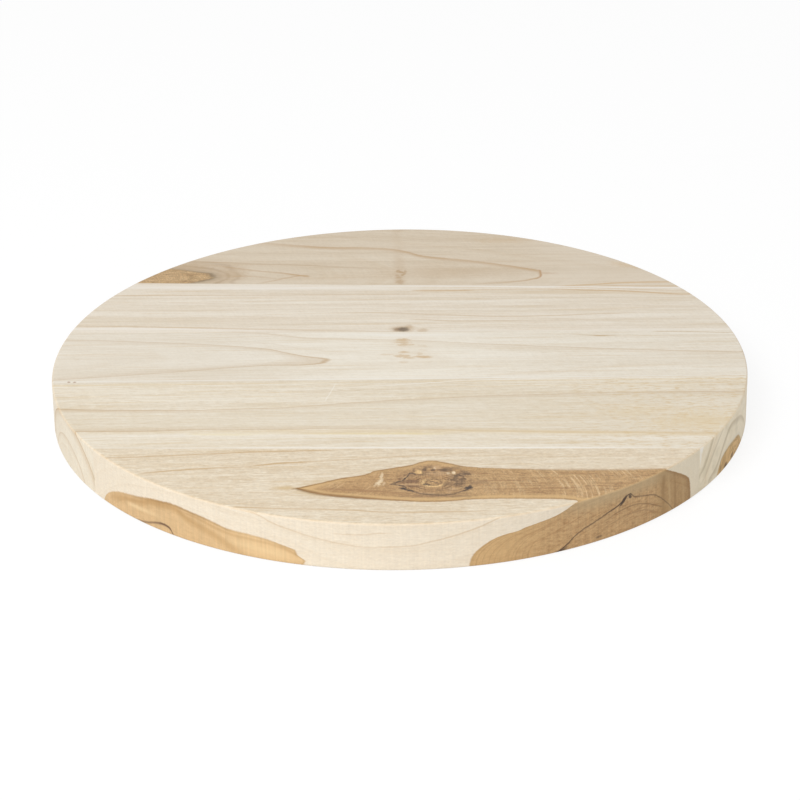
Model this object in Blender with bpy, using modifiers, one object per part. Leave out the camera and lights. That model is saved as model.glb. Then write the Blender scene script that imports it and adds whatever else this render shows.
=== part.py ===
"""Round cutting board: five wide staves edge-glued side by side, planed flat and turned round.

Metres, +Z up. The origin is the centre of the underside, so the board stands on Z = 0, and the grain of
every stave runs along X. Each glue joint is a straight upright plane. It crosses the board's middle line
(X = 0) at its own distance from the centre and is skewed a little, so the staves taper as on the real board.
"""
import math
from dataclasses import dataclass

import bmesh
import bpy

# Board
BOARD_DIAMETER = 0.450
BOARD_THICKNESS = 0.031
ARRIS_RADIUS = 0.0012  # eased edge round the top and round the underside

# Glue joints, from the rear of the board to its front
REAR_JOINT_Y = 0.1250
REAR_JOINT_SKEW = math.radians(-2.6)
REAR_INNER_JOINT_Y = 0.0470
REAR_INNER_JOINT_SKEW = math.radians(-1.0)
FRONT_INNER_JOINT_Y = -0.0270
FRONT_INNER_JOINT_SKEW = math.radians(0.25)
FRONT_JOINT_Y = -0.1262
FRONT_JOINT_SKEW = math.radians(-1.35)
GLUE_LINE = 0.0003  # gap that the glue fills between two staves

# Mesh fineness
RIM_SEGMENTS = 240
ARRIS_SEGMENTS = 4
CREASE_ANGLE = math.radians(8)  # the rim's facets are shaded smooth, the arris lines stay crisp

# Bare sanded wood
WOOD_ROUGHNESS = 0.62
WOOD_METALLIC = 0.0


@dataclass(frozen=True)
class Joint:
    """A glue joint: where it crosses the middle line, and how far it is turned from the X axis."""

    middle_y: float
    skew: float

    def y_at(self, x, offset=0.0):
        """Y of the line that runs beside the joint, offset square to it."""
        return self.middle_y + x * math.tan(self.skew) + offset / math.cos(self.skew)


@dataclass(frozen=True)
class Stave:
    """One stave: the joints behind and before it, or None at the board's rim, and its wood's colour."""

    name: str
    rear: Joint | None
    front: Joint | None
    colour: tuple


REAR_JOINT = Joint(REAR_JOINT_Y, REAR_JOINT_SKEW)
REAR_INNER_JOINT = Joint(REAR_INNER_JOINT_Y, REAR_INNER_JOINT_SKEW)
FRONT_INNER_JOINT = Joint(FRONT_INNER_JOINT_Y, FRONT_INNER_JOINT_SKEW)
FRONT_JOINT = Joint(FRONT_JOINT_Y, FRONT_JOINT_SKEW)

STAVES = (
    Stave("rear_stave", None, REAR_JOINT, (201, 180, 153)),
    Stave("rear_inner_stave", REAR_JOINT, REAR_INNER_JOINT, (226, 211, 190)),
    Stave("middle_stave", REAR_INNER_JOINT, FRONT_INNER_JOINT, (228, 214, 194)),
    Stave("front_inner_stave", FRONT_INNER_JOINT, FRONT_JOINT, (226, 211, 181)),
    Stave("front_stave", FRONT_JOINT, None, (214, 186, 147)),
)


def clear_scene():
    """Remove whatever the scene holds."""
    for item in list(bpy.data.objects):
        bpy.data.objects.remove(item, do_unlink=True)


def new_collection(name):
    """A new collection, linked under the scene."""
    collection = bpy.data.collections.new(name)
    bpy.context.scene.collection.children.link(collection)
    return collection


def linear(channel):
    """One 0-255 screen channel as a linear value from 0 to 1."""
    share = channel / 255
    return share / 12.92 if share <= 0.04045 else ((share + 0.055) / 1.055) ** 2.4


def wood_material(stave):
    """The stave's own wood: sanded bare, with no shine."""
    material = bpy.data.materials.new(stave.name + "_wood")
    material.use_nodes = True
    shader = material.node_tree.nodes["Principled BSDF"]
    shader.inputs["Base Color"].default_value = (*(linear(channel) for channel in stave.colour), 1)
    shader.inputs["Roughness"].default_value = WOOD_ROUGHNESS
    shader.inputs["Metallic"].default_value = WOOD_METALLIC
    return material


def turned_round(collection):
    """The finished outline of the whole board: a disc with both of its rims eased."""
    mesh = bpy.data.meshes.new("turned_round")
    shape = bmesh.new()
    bmesh.ops.create_cone(shape, cap_ends=True, segments=RIM_SEGMENTS, depth=BOARD_THICKNESS,
                          radius1=BOARD_DIAMETER / 2, radius2=BOARD_DIAMETER / 2)
    shape.to_mesh(mesh)
    shape.free()
    disc = bpy.data.objects.new("turned_round", mesh)
    disc.location.z = BOARD_THICKNESS / 2
    disc.hide_render = True
    disc.display_type = "WIRE"
    collection.objects.link(disc)

    eased = disc.modifiers.new("eased_arris", "BEVEL")
    eased.width = ARRIS_RADIUS
    eased.segments = ARRIS_SEGMENTS
    eased.limit_method = "ANGLE"
    eased.angle_limit = math.radians(45)
    return disc


def plank_outline(stave):
    """The rough plank's corners seen from above, counter-clockwise, half a glue line off each joint.

    The plank is rough-cut to twice the board's width, so the round trims its ends and its outer edge.
    """
    end = BOARD_DIAMETER
    front = [-end, -end]
    rear = [end, end]
    if stave.front:
        front = [stave.front.y_at(x, GLUE_LINE / 2) for x in (-end, end)]
    if stave.rear:
        rear = [stave.rear.y_at(x, -GLUE_LINE / 2) for x in (end, -end)]
    return [(-end, front[0]), (end, front[1]), (end, rear[0]), (-end, rear[1])]


def rough_plank(stave):
    """The stave's plank before turning: its outline, drawn as a flat curve and extruded twice too thick."""
    curve = bpy.data.curves.new(stave.name + "_outline", "CURVE")
    curve.dimensions = "2D"
    curve.fill_mode = "BOTH"
    curve.extrude = BOARD_THICKNESS
    corners = plank_outline(stave)
    line = curve.splines.new("POLY")
    line.points.add(len(corners) - 1)
    for point, (x, y) in zip(line.points, corners):
        point.co = (x, y, 0, 1)
    line.use_cyclic_u = True
    outline = bpy.data.objects.new(stave.name + "_outline", curve)
    outline.location.z = BOARD_THICKNESS / 2
    bpy.context.scene.collection.objects.link(outline)

    bpy.context.view_layer.update()
    seen = outline.evaluated_get(bpy.context.evaluated_depsgraph_get())
    mesh = bpy.data.meshes.new_from_object(seen)
    shape = bmesh.new()
    shape.from_mesh(mesh)
    bmesh.ops.remove_doubles(shape, verts=shape.verts, dist=GLUE_LINE / 10)
    shape.to_mesh(mesh)
    shape.free()
    plank = bpy.data.objects.new(stave.name, mesh)
    plank.matrix_world = outline.matrix_world
    bpy.data.objects.remove(outline, do_unlink=True)
    bpy.data.curves.remove(curve)
    return plank


def turned_stave(stave, disc, collection):
    """The finished stave: its rough plank, planed and turned down to the board's round outline."""
    plank = rough_plank(stave)
    collection.objects.link(plank)
    turning = plank.modifiers.new("turned_round", "BOOLEAN")
    turning.operation = "INTERSECT"
    turning.solver = "EXACT"
    turning.object = disc

    bpy.context.view_layer.update()
    seen = plank.evaluated_get(bpy.context.evaluated_depsgraph_get())
    mesh = bpy.data.meshes.new_from_object(seen)
    plank.modifiers.clear()
    plank.data = mesh
    mesh.name = stave.name
    mesh.shade_smooth()
    mesh.set_sharp_from_angle(angle=CREASE_ANGLE)
    mesh.materials.clear()
    mesh.materials.append(wood_material(stave))
    return plank


def main():
    """Build the board."""
    clear_scene()
    board = new_collection("round_cutting_board")
    cutters = new_collection("cutters")
    disc = turned_round(cutters)
    for stave in STAVES:
        turned_stave(stave, disc, board)


main()
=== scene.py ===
"""Round cutting board: the looks of its five glued staves.

Each stave is turned, split at its joints and given its own wood. The wood is solid: its rings, heartwood and
pores are worked out from the place of each point, in millimetres, so that they run on from the top over the
arris to the rim. X runs along the grain, Y from the front to the rear, Z up from the underside.
"""

import logging
import math
from dataclasses import dataclass
from enum import Enum

import bmesh
import bpy
from mathutils import Matrix, Vector


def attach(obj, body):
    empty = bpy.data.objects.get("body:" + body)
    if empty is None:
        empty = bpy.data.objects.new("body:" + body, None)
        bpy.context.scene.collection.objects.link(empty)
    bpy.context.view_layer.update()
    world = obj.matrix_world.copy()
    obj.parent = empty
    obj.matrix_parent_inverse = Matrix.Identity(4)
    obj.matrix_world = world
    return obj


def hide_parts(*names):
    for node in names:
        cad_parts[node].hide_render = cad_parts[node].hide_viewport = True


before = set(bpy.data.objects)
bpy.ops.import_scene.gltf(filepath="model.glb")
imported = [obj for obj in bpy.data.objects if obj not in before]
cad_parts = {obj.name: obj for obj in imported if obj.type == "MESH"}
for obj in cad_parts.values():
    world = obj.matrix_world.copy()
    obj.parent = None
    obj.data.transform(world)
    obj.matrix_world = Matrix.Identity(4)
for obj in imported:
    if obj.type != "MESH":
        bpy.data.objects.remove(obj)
LOG = logging.getLogger("round_cutting_board")

# The board, in millimetres
BOARD_RADIUS = 225.0
BOARD_THICKNESS = 31.0
ARRIS_RADIUS = 1.2
MILLIMETRE = 0.001
RIM_PER_DEGREE = math.radians(BOARD_RADIUS)

# A spot fades out at this many times its own size, and it is drawn at any depth
OVAL_REACH = 4.0
ANY_DEPTH = 1e6

# Noise cells in millimetres, along X, Y and Z
WOBBLE_CELL = (26.0, 9.0, 9.0)
RAGGED_CELL = (2.4, 2.0, 2.0)
WARP_CELL = (110.0, 30.0, 30.0)
THREAD_CELL = (80.0, 2.2, 1.7)
BAND_CELL = (260.0, 6.5, 6.5)
DASH_CELL = (7.0, 1.7, 1.1)
FINE_CELL = (2.0, 1.6, 1.0)
PORE_CELL = (4.5, 0.32, 0.32)
SPECKLE_CELL = (0.9, 1.6, 0.9)
PATCH_CELL = (15.0, 14.0, 14.0)
HATCH_CELL = (0.9, 6.0, 6.0)

# Noise cells that follow the growth rings: along X, out from the pith and round it
STREAK_CELL = (75.0, 1.5, 40.0)
CLOUD_CELL = (130.0, 9.0, 60.0)

SHARES = (0.0, 1.0)
WHITE = (1.0, 1.0, 1.0, 1.0)

Place = tuple[float, float]
StrongPlace = tuple[float, float, float]
Cell = tuple[float, float, float]


@dataclass(frozen=True)
class Colour:
    """A colour as a screen shows it, from 0 to 255 a channel."""

    red: float
    green: float
    blue: float

    def linear(self) -> tuple[float, float, float, float]:
        """The colour as a shader takes it.

        Returns:
            Linear red, green and blue from 0 to 1, and an alpha of 1.
        """
        shares = (self.red / 255, self.green / 255, self.blue / 255)
        channels = [s / 12.92 if s <= 0.04045 else ((s + 0.055) / 1.055) ** 2.4 for s in shares]
        return (*channels, 1.0)


@dataclass(frozen=True)
class Wash:
    """A colour laid over part of the wood, and how much of it."""

    colour: Colour
    strength: float


class Course(Enum):
    """How a drawn curve runs between its points."""

    SMOOTH = "AUTO"
    HELD = "AUTO_CLAMPED"
    STRAIGHT = "VECTOR"


class Step(Enum):
    """How a number moves from one range to another."""

    EVEN = "LINEAR"
    SOFT = "SMOOTHSTEP"


class Chart(Enum):
    """Where a mark is drawn, and which way it runs there."""

    ALONG_TOP = "over X on the top face, at a Y"
    ACROSS_TOP = "over Y on the top face, at an X"
    ROUND_RIM = "over the bearing in degrees round the rim, at a height"
    UP_RIM = "over the height on the rim, at a bearing in degrees"


class Field:
    """A number that varies through the wood: one output among a material's nodes, used like a number."""

    def __init__(self, bench: "Bench", socket: bpy.types.NodeSocket) -> None:
        """Keep the output.

        Args:
            bench: the bench that made it.
            socket: the output itself.
        """
        self.bench = bench
        self.socket = socket

    def __add__(self, other: "Value") -> "Field":
        """This and other, added."""
        return self.bench.math("ADD", self, other)

    def __sub__(self, other: "Value") -> "Field":
        """Other, taken from this."""
        return self.bench.math("SUBTRACT", self, other)

    def __rsub__(self, other: "Value") -> "Field":
        """This, taken from other."""
        return self.bench.math("SUBTRACT", other, self)

    def __mul__(self, other: "Value") -> "Field":
        """This and other, multiplied."""
        return self.bench.math("MULTIPLY", self, other)

    def __truediv__(self, other: "Value") -> "Field":
        """This, divided by other."""
        return self.bench.math("DIVIDE", self, other)

    __radd__ = __add__
    __rmul__ = __mul__

    def most(self, other: "Value") -> "Field":
        """The greater of this and other."""
        return self.bench.math("MAXIMUM", self, other)

    def least(self, other: "Value") -> "Field":
        """The smaller of this and other."""
        return self.bench.math("MINIMUM", self, other)

    def eased(self, start: float, end: float) -> "Field":
        """A soft step in this number.

        Args:
            start: where the step begins, at 0.
            end: where it ends, at 1. It may be less than start.

        Returns:
            0 before the step, 1 past it and a smooth rise between.
        """
        return self.bench.remapped(self, (start, end), SHARES, Step.SOFT)

    def near(self, middle: float, half: float) -> "Field":
        """1 where this number is at the middle, and 0 from half away."""
        return self.bench.math("ABSOLUTE", self - middle).eased(half, 0.0)

    def between(self, above: float, below: float) -> "Field":
        """1 where this number is 0, fading to 0 at `above` on one side and at -`below` on the other."""
        return self.eased(above, 0.0).least(self.eased(-below, 0.0))


Value = Field | float


class Tone:
    """A colour that varies through the wood: one colour output among a material's nodes."""

    def __init__(self, bench: "Bench", socket: bpy.types.NodeSocket) -> None:
        """Keep the output.

        Args:
            bench: the bench that made it.
            socket: the output itself.
        """
        self.bench = bench
        self.socket = socket

    def toward(self, other: "Colour | Tone", amount: Value) -> "Tone":
        """This colour, mixed with another.

        Args:
            other: the colour to mix in.
            amount: how much of it, from 0 to 1.

        Returns:
            The mixed colour.
        """
        return self.bench.mixed(self, other, amount)

    def washed(self, wash: Wash, where: Value = 1.0) -> "Tone":
        """This colour under a wash, at the wash's own strength where `where` is 1."""
        return self.toward(wash.colour, where * wash.strength)

    def scaled(self, factor: Value) -> "Tone":
        """This colour, made lighter or darker by a factor."""
        node = self.bench.node("ShaderNodeVectorMath", operation="SCALE")
        self.bench.feed(node.inputs[0], self)
        self.bench.feed(node.inputs["Scale"], factor)
        return Tone(self.bench, node.outputs[0])


class Bench:
    """The bench on which one material's nodes are made and joined."""

    ROWS = 14
    ROW_STEP = -180
    COLUMN_STEP = 200
    LEAST_SPAN = 1e-6

    def __init__(self, owner: bpy.types.Material | bpy.types.World) -> None:
        """Start with an empty node tree.

        Args:
            owner: the material or the world to fill.
        """
        owner.use_nodes = True
        self.tree = owner.node_tree
        self.tree.nodes.clear()
        self.count = 0

    def node(self, kind: str, **settings: object) -> bpy.types.Node:
        """A new node, laid out after the last one.

        Args:
            kind: the node's type.
            settings: its properties by name.

        Returns:
            The node.
        """
        node = self.tree.nodes.new(kind)
        for name, value in settings.items():
            setattr(node, name, value)
        column, row = divmod(self.count, self.ROWS)
        node.location = (self.COLUMN_STEP * column, self.ROW_STEP * row)
        self.count += 1
        return node

    def feed(self, socket: bpy.types.NodeSocket, value: "Value | Colour | Tone") -> None:
        """Give an input its value: a link from an output, or a number or colour of its own."""
        if isinstance(value, (Field, Tone)):
            self.tree.links.new(value.socket, socket)
        elif isinstance(value, Colour):
            socket.default_value = value.linear()
        else:
            socket.default_value = value

    def math(self, operation: str, *values: Value) -> Field:
        """One sum.

        Args:
            operation: the Math node's operation.
            values: what it works on.

        Returns:
            Its result.
        """
        node = self.node("ShaderNodeMath", operation=operation)
        for socket, value in zip(node.inputs, values):
            self.feed(socket, value)
        return Field(self, node.outputs[0])

    def remapped(self, value: Field, old: Place, new: Place, step: Step = Step.EVEN) -> Field:
        """A number moved from one range to another and held within it.

        Args:
            value: the number.
            old: the range that it comes from.
            new: the range that it goes to.
            step: how it moves.

        Returns:
            The moved number.
        """
        node = self.node("ShaderNodeMapRange", interpolation_type=step.value, clamp=True)
        self.feed(node.inputs[0], value)
        for socket, bound in zip(node.inputs[1:5], (*old, *new)):
            socket.default_value = bound
        return Field(self, node.outputs[0])

    def noise(self, along: Value, across: Value, up: Value, detail: float = 2.0,
              roughness: float = 0.5) -> Field:
        """Smooth noise at a place.

        Args:
            along: the place's first coordinate, in noise cells.
            across: its second.
            up: its third.
            detail: how many finer layers are added.
            roughness: how strong they are.

        Returns:
            Noise round 0, mostly from -0.6 to 0.6.
        """
        place = self.node("ShaderNodeCombineXYZ")
        for socket, value in zip(place.inputs, (along, across, up)):
            self.feed(socket, value)
        return self.noise_at(place.outputs[0], detail, roughness)

    def noise_at(self, place: bpy.types.NodeSocket, detail: float, roughness: float) -> Field:
        """Smooth noise, as above, at a place that is one vector."""
        node = self.node("ShaderNodeTexNoise", noise_dimensions="3D")
        self.tree.links.new(place, node.inputs["Vector"])
        for name, value in (("Scale", 1.0), ("Detail", detail), ("Roughness", roughness)):
            node.inputs[name].default_value = value
        return self.math("MULTIPLY_ADD", Field(self, node.outputs["Fac"]), 2.0, -1.0)

    def lot(self, number: Field) -> Field:
        """A chance value from 0 to 1 for each whole number."""
        node = self.node("ShaderNodeTexWhiteNoise", noise_dimensions="1D")
        self.feed(node.inputs["W"], number)
        return Field(self, node.outputs["Value"])

    def curve(self, along: Field, places: tuple[Place, ...], course: Course = Course.SMOOTH) -> Field:
        """A number that follows a drawn curve.

        Args:
            along: how far along the curve.
            places: the points that the curve passes through, as (along, number).
            course: how the curve runs between them.

        Returns:
            The curve's number there, and past its ends that of its ends.
        """
        first, last = places[0][0], places[-1][0]
        lowest, highest = (pick(number for _, number in places) for pick in (min, max))
        is_share = lowest >= 0.0 and highest <= 1.0
        low, span = SHARES if is_share else (lowest, max(highest - lowest, self.LEAST_SPAN))
        node = self.node("ShaderNodeFloatCurve")
        line = node.mapping.curves[0]
        while len(line.points) < len(places):
            line.points.new(0.5, 0.5)
        for point, (at, number) in zip(line.points, places):
            point.location = ((at - first) / (last - first), (number - low) / span)
            point.handle_type = course.value
        node.mapping.update()
        self.feed(node.inputs["Value"], self.remapped(along, (first, last), SHARES))
        drawn = Field(self, node.outputs[0])
        return drawn if is_share else self.math("MULTIPLY_ADD", drawn, span, low)

    def strength(self, along: Field, places: tuple[Place, ...]) -> Field:
        """A strength that follows a drawn curve and never overshoots its points."""
        return self.curve(along, places, Course.HELD)

    def nearness(self, place: bpy.types.NodeSocket, middle: Place, half: Place, tilt: float) -> Field:
        """How near a place is to an oval's middle.

        Args:
            place: the place as a vector, in metres.
            middle: the oval's middle, in millimetres.
            half: half its length and half its width, in millimetres.
            tilt: how far it is turned, in degrees.

        Returns:
            1 in the middle, falling evenly to 0 at `OVAL_REACH` times the oval's own size.
        """
        turned = self.node("ShaderNodeMapping", vector_type="TEXTURE")
        turned.inputs["Location"].default_value = (middle[0] * MILLIMETRE, middle[1] * MILLIMETRE, 0.0)
        turned.inputs["Rotation"].default_value = (0.0, 0.0, math.radians(tilt))
        turned.inputs["Scale"].default_value = (*(OVAL_REACH * size * MILLIMETRE for size in half), ANY_DEPTH)
        self.tree.links.new(place, turned.inputs["Vector"])
        fade = self.node("ShaderNodeTexGradient", gradient_type="SPHERICAL")
        self.tree.links.new(turned.outputs[0], fade.inputs["Vector"])
        return Field(self, fade.outputs["Fac"])

    def flat(self, colour: Colour) -> Tone:
        """A plain colour to start from."""
        node = self.node("ShaderNodeRGB")
        node.outputs[0].default_value = colour.linear()
        return Tone(self, node.outputs[0])

    def mixed(self, first: Tone, second: "Colour | Tone", amount: Value) -> Tone:
        """Two colours, mixed.

        Args:
            first: the colour at an amount of 0.
            second: the colour at an amount of 1.
            amount: the share of the second.

        Returns:
            The mixed colour.
        """
        node = self.node("ShaderNodeMix", data_type="RGBA", clamp_factor=True)
        self.feed(node.inputs["Factor"], amount)
        inputs = [socket for socket in node.inputs if socket.type == "RGBA"]
        self.feed(inputs[0], first)
        self.feed(inputs[1], second)
        outputs = [socket for socket in node.outputs if socket.type == "RGBA"]
        return Tone(self, outputs[0])


class WoodSpace:
    """Where a point of the board is, in millimetres, and what every stave's wood reads of that.

    A face gives way to the rim between two depths under it. Away from the rim, the wood down in a seam still
    counts as the top's.
    """

    FACE_STARTS = 0.2
    FACE_ENDS = 0.6
    SEAM_DEPTH = 5.0
    FADE = 1.0

    def __init__(self, bench: Bench) -> None:
        """Lay out the coordinates.

        Args:
            bench: the bench of the material that reads them.
        """
        self.bench = bench
        self.place = bench.node("ShaderNodeTexCoord").outputs["Object"]
        in_millimetres = bench.node("ShaderNodeVectorMath", operation="SCALE")
        in_millimetres.inputs["Scale"].default_value = 1.0 / MILLIMETRE
        bench.tree.links.new(self.place, in_millimetres.inputs[0])
        split = bench.node("ShaderNodeSeparateXYZ")
        bench.tree.links.new(in_millimetres.outputs[0], split.inputs[0])
        self.x, self.y, self.z = (Field(bench, socket) for socket in split.outputs)
        self.from_axis = bench.math("SQRT", self.x * self.x + self.y * self.y)
        turn = bench.math("DEGREES", bench.math("ARCTAN2", self.y, self.x))
        self.bearing = bench.math("MODULO", turn + 360.0, 360.0)
        self.way_round = self.bearing * RIM_PER_DEGREE
        unrolled = bench.node("ShaderNodeCombineXYZ")
        bench.feed(unrolled.inputs[0], self.way_round * MILLIMETRE)
        bench.feed(unrolled.inputs[1], self.z * MILLIMETRE)
        self.unrolled = unrolled.outputs[0]
        seam_floor = BOARD_THICKNESS - self.SEAM_DEPTH
        in_from_rim = self.from_axis.eased(BOARD_RADIUS - self.FADE, BOARD_RADIUS - 2 * self.FADE)
        in_seam = in_from_rim * self.z.eased(seam_floor - self.FADE, seam_floor)
        high = self.z.eased(BOARD_THICKNESS - self.FACE_ENDS, BOARD_THICKNESS - self.FACE_STARTS)
        self.on_top = high.most(in_seam)
        self.on_underside = self.z.eased(self.FACE_ENDS, self.FACE_STARTS)
        self.on_rim = 1.0 - self.on_top - self.on_underside
        self.wobble = self.noise(WOBBLE_CELL, detail=3.0)
        self.ragged = self.noise(RAGGED_CELL, detail=3.0, roughness=0.6)

    def noise(self, cell: Cell, seed: float = 0.0, detail: float = 2.0, roughness: float = 0.5) -> Field:
        """Smooth noise through the wood.

        Args:
            cell: the size of a noise cell along X, Y and Z, in millimetres.
            seed: a number that gives each plank noise of its own.
            detail: how many finer layers are added.
            roughness: how strong they are.

        Returns:
            Noise round 0, mostly from -0.6 to 0.6.
        """
        node = self.bench.node("ShaderNodeMapping", vector_type="POINT")
        self.bench.tree.links.new(self.place, node.inputs["Vector"])
        node.inputs["Location"].default_value = (seed, 0.0, 0.0)
        node.inputs["Scale"].default_value = [1.0 / (size * MILLIMETRE) for size in cell]
        return self.bench.noise_at(node.outputs[0], detail, roughness)

    def along_and_across(self, chart: Chart) -> tuple[Field, Field, Field, float]:
        """The coordinates that a mark is drawn in.

        Args:
            chart: where the mark is drawn.

        Returns:
            How far along, the millimetres across, the share of that surface here, and the millimetres in one
            unit of the number across.
        """
        if chart is Chart.ALONG_TOP:
            return self.x, self.y, self.on_top, 1.0
        if chart is Chart.ACROSS_TOP:
            return self.y, self.x, self.on_top, 1.0
        if chart is Chart.ROUND_RIM:
            return self.bearing, self.z, self.on_rim, 1.0
        return self.z, self.way_round, self.on_rim, RIM_PER_DEGREE


@dataclass(frozen=True)
class Mark:
    """A line in the wood, such as a ring's edge, a vein, a crack or a light band.

    Its path's points are (along, across, strength). It fades over `past` on the side where the number across
    grows, and over `short` on the other, in millimetres. It wanders from its path by about `wander`, and its
    edges are frayed by about `fray`.
    """

    path: tuple[StrongPlace, ...]
    past: float
    short: float
    wander: float = 0.6
    fray: float = 0.4
    chart: Chart = Chart.ALONG_TOP

    def amount(self, space: WoodSpace) -> Field:
        """How strong the mark is at each point.

        Args:
            space: the wood's coordinates.

        Returns:
            The mark's strength, 0 away from it.
        """
        bench = space.bench
        along, across, surface, unit = space.along_and_across(self.chart)
        astray = bench.math("MULTIPLY_ADD", space.ragged, self.fray, space.wobble * self.wander)
        off = across - bench.curve(along, tuple((at, number * unit) for at, number, _ in self.path)) + astray
        strength = bench.strength(along, tuple((at, strong) for at, _, strong in self.path))
        return off.between(self.past, self.short) * strength * surface


@dataclass(frozen=True)
class Spot:
    """A stain or fleck: a tilted oval with a ragged edge, its halves in millimetres.

    Its middle is (x, y) on the top face, or (bearing, height) where its chart is the rim.
    """

    middle: Place
    half_length: float
    half_width: float
    strength: float
    tilt: float = 0.0
    softness: float = 0.5
    raggedness: float = 0.5
    chart: Chart = Chart.ALONG_TOP

    def amount(self, space: WoodSpace) -> Field:
        """How strong the spot is at each point.

        Args:
            space: the wood's coordinates.

        Returns:
            The spot's strength, 0 away from it.
        """
        bench = space.bench
        place, surface, unit = space.place, space.on_top, 1.0
        if self.chart is Chart.ROUND_RIM:
            place, surface, unit = space.unrolled, space.on_rim, RIM_PER_DEGREE
        middle = (self.middle[0] * unit, self.middle[1])
        near = bench.nearness(place, middle, (self.half_length, self.half_width), self.tilt)
        edge = bench.math("MULTIPLY_ADD", space.ragged, -self.raggedness / OVAL_REACH, near)
        soft = tuple(1.0 - far / OVAL_REACH for far in (1.0 + self.softness, 1.0 - self.softness))
        return bench.remapped(edge, soft, (0.0, self.strength), Step.SOFT) * surface


@dataclass(frozen=True)
class Log:
    """How a plank lay in its log: where the pith ran beside it, as (x, y) and (x, height) points."""

    pith_across: tuple[Place, ...]
    pith_height: tuple[Place, ...]
    warp: float = 1.4
    wobble: float = 0.35
    turn_radius: float = 60.0
    flattest: float = 0.02

    def rings(self, space: WoodSpace) -> tuple[Field, Field, Field]:
        """The growth rings' own coordinates.

        Args:
            space: the wood's coordinates.

        Returns:
            The distance from the pith in millimetres, warped a little, the way round it in millimetres, and
            how steeply the rings meet the surface: near 0 where they lie flat in it, 1 where they stand up.
        """
        bench = space.bench
        sideways = space.y - bench.curve(space.x, self.pith_across)
        upward = space.z - bench.curve(space.x, self.pith_height)
        slow = space.noise(WARP_CELL)
        straight = bench.math("SQRT", sideways * sideways + upward * upward)
        reach = straight + slow * self.warp + space.wobble * self.wobble
        turn = bench.math("ARCTAN2", sideways, upward) * self.turn_radius
        outward = sideways * space.y / BOARD_RADIUS * space.on_rim
        facing = (outward + upward * (space.on_top - space.on_underside)) / straight
        steep = bench.math("SQRT", (1.0 - facing * facing).most(self.flattest))
        return reach, turn, steep


@dataclass(frozen=True)
class RingLine:
    """The dark edge of one growth ring, and the soft shade inside it.

    It lies at a distance from the pith, and its strength runs over X. Widths are on the surface. Where it has
    a Y to fade at, it fades out in front of it.
    """

    distance: float
    strength: tuple[Place, ...]
    line: float = 1.1
    line_outside: float = 0.8
    shade: float = 7.0
    shade_outside: float = 0.9
    shade_share: float = 0.45
    fades_before: float | None = None
    fade: float = 8.0

    def amount(self, grain: "Grain") -> Field:
        """How strong the ring's edge is at each point.

        Args:
            grain: the stave's grain.

        Returns:
            The strength, 0 away from the edge.
        """
        space = grain.space
        off = (grain.reach - self.distance) / grain.steep
        line = off.between(self.line_outside, self.line)
        shade = off.between(self.shade_outside, self.shade) * self.shade_share
        amount = line.most(shade) * space.bench.strength(space.x, self.strength)
        if self.fades_before is None:
            return amount
        return amount * space.y.eased(self.fades_before - self.fade, self.fades_before + self.fade)


@dataclass(frozen=True)
class Sapwood:
    """The pale wood's colours, and how strongly each kind of grain shows in it."""

    ground: Colour = Colour(227, 217, 199)
    shade: Colour = Colour(206, 188, 158)
    line: Colour = Colour(194, 166, 124)
    glow: Colour = Colour(244, 239, 227)
    thread: Colour = Colour(211, 183, 138)
    ring_width: float = 7.0
    ring_depth: float = 0.25
    cloud_depth: float = 0.40
    band_depth: float = 0.50
    streak_depth: float = 0.32
    thread_depth: float = 0.38
    dash_depth: float = 0.34
    fine_depth: float = 0.05
    tooling_depth: float = 0.08
    pore_depth: float = 0.20
    rim_calm: float = 0.55


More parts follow.
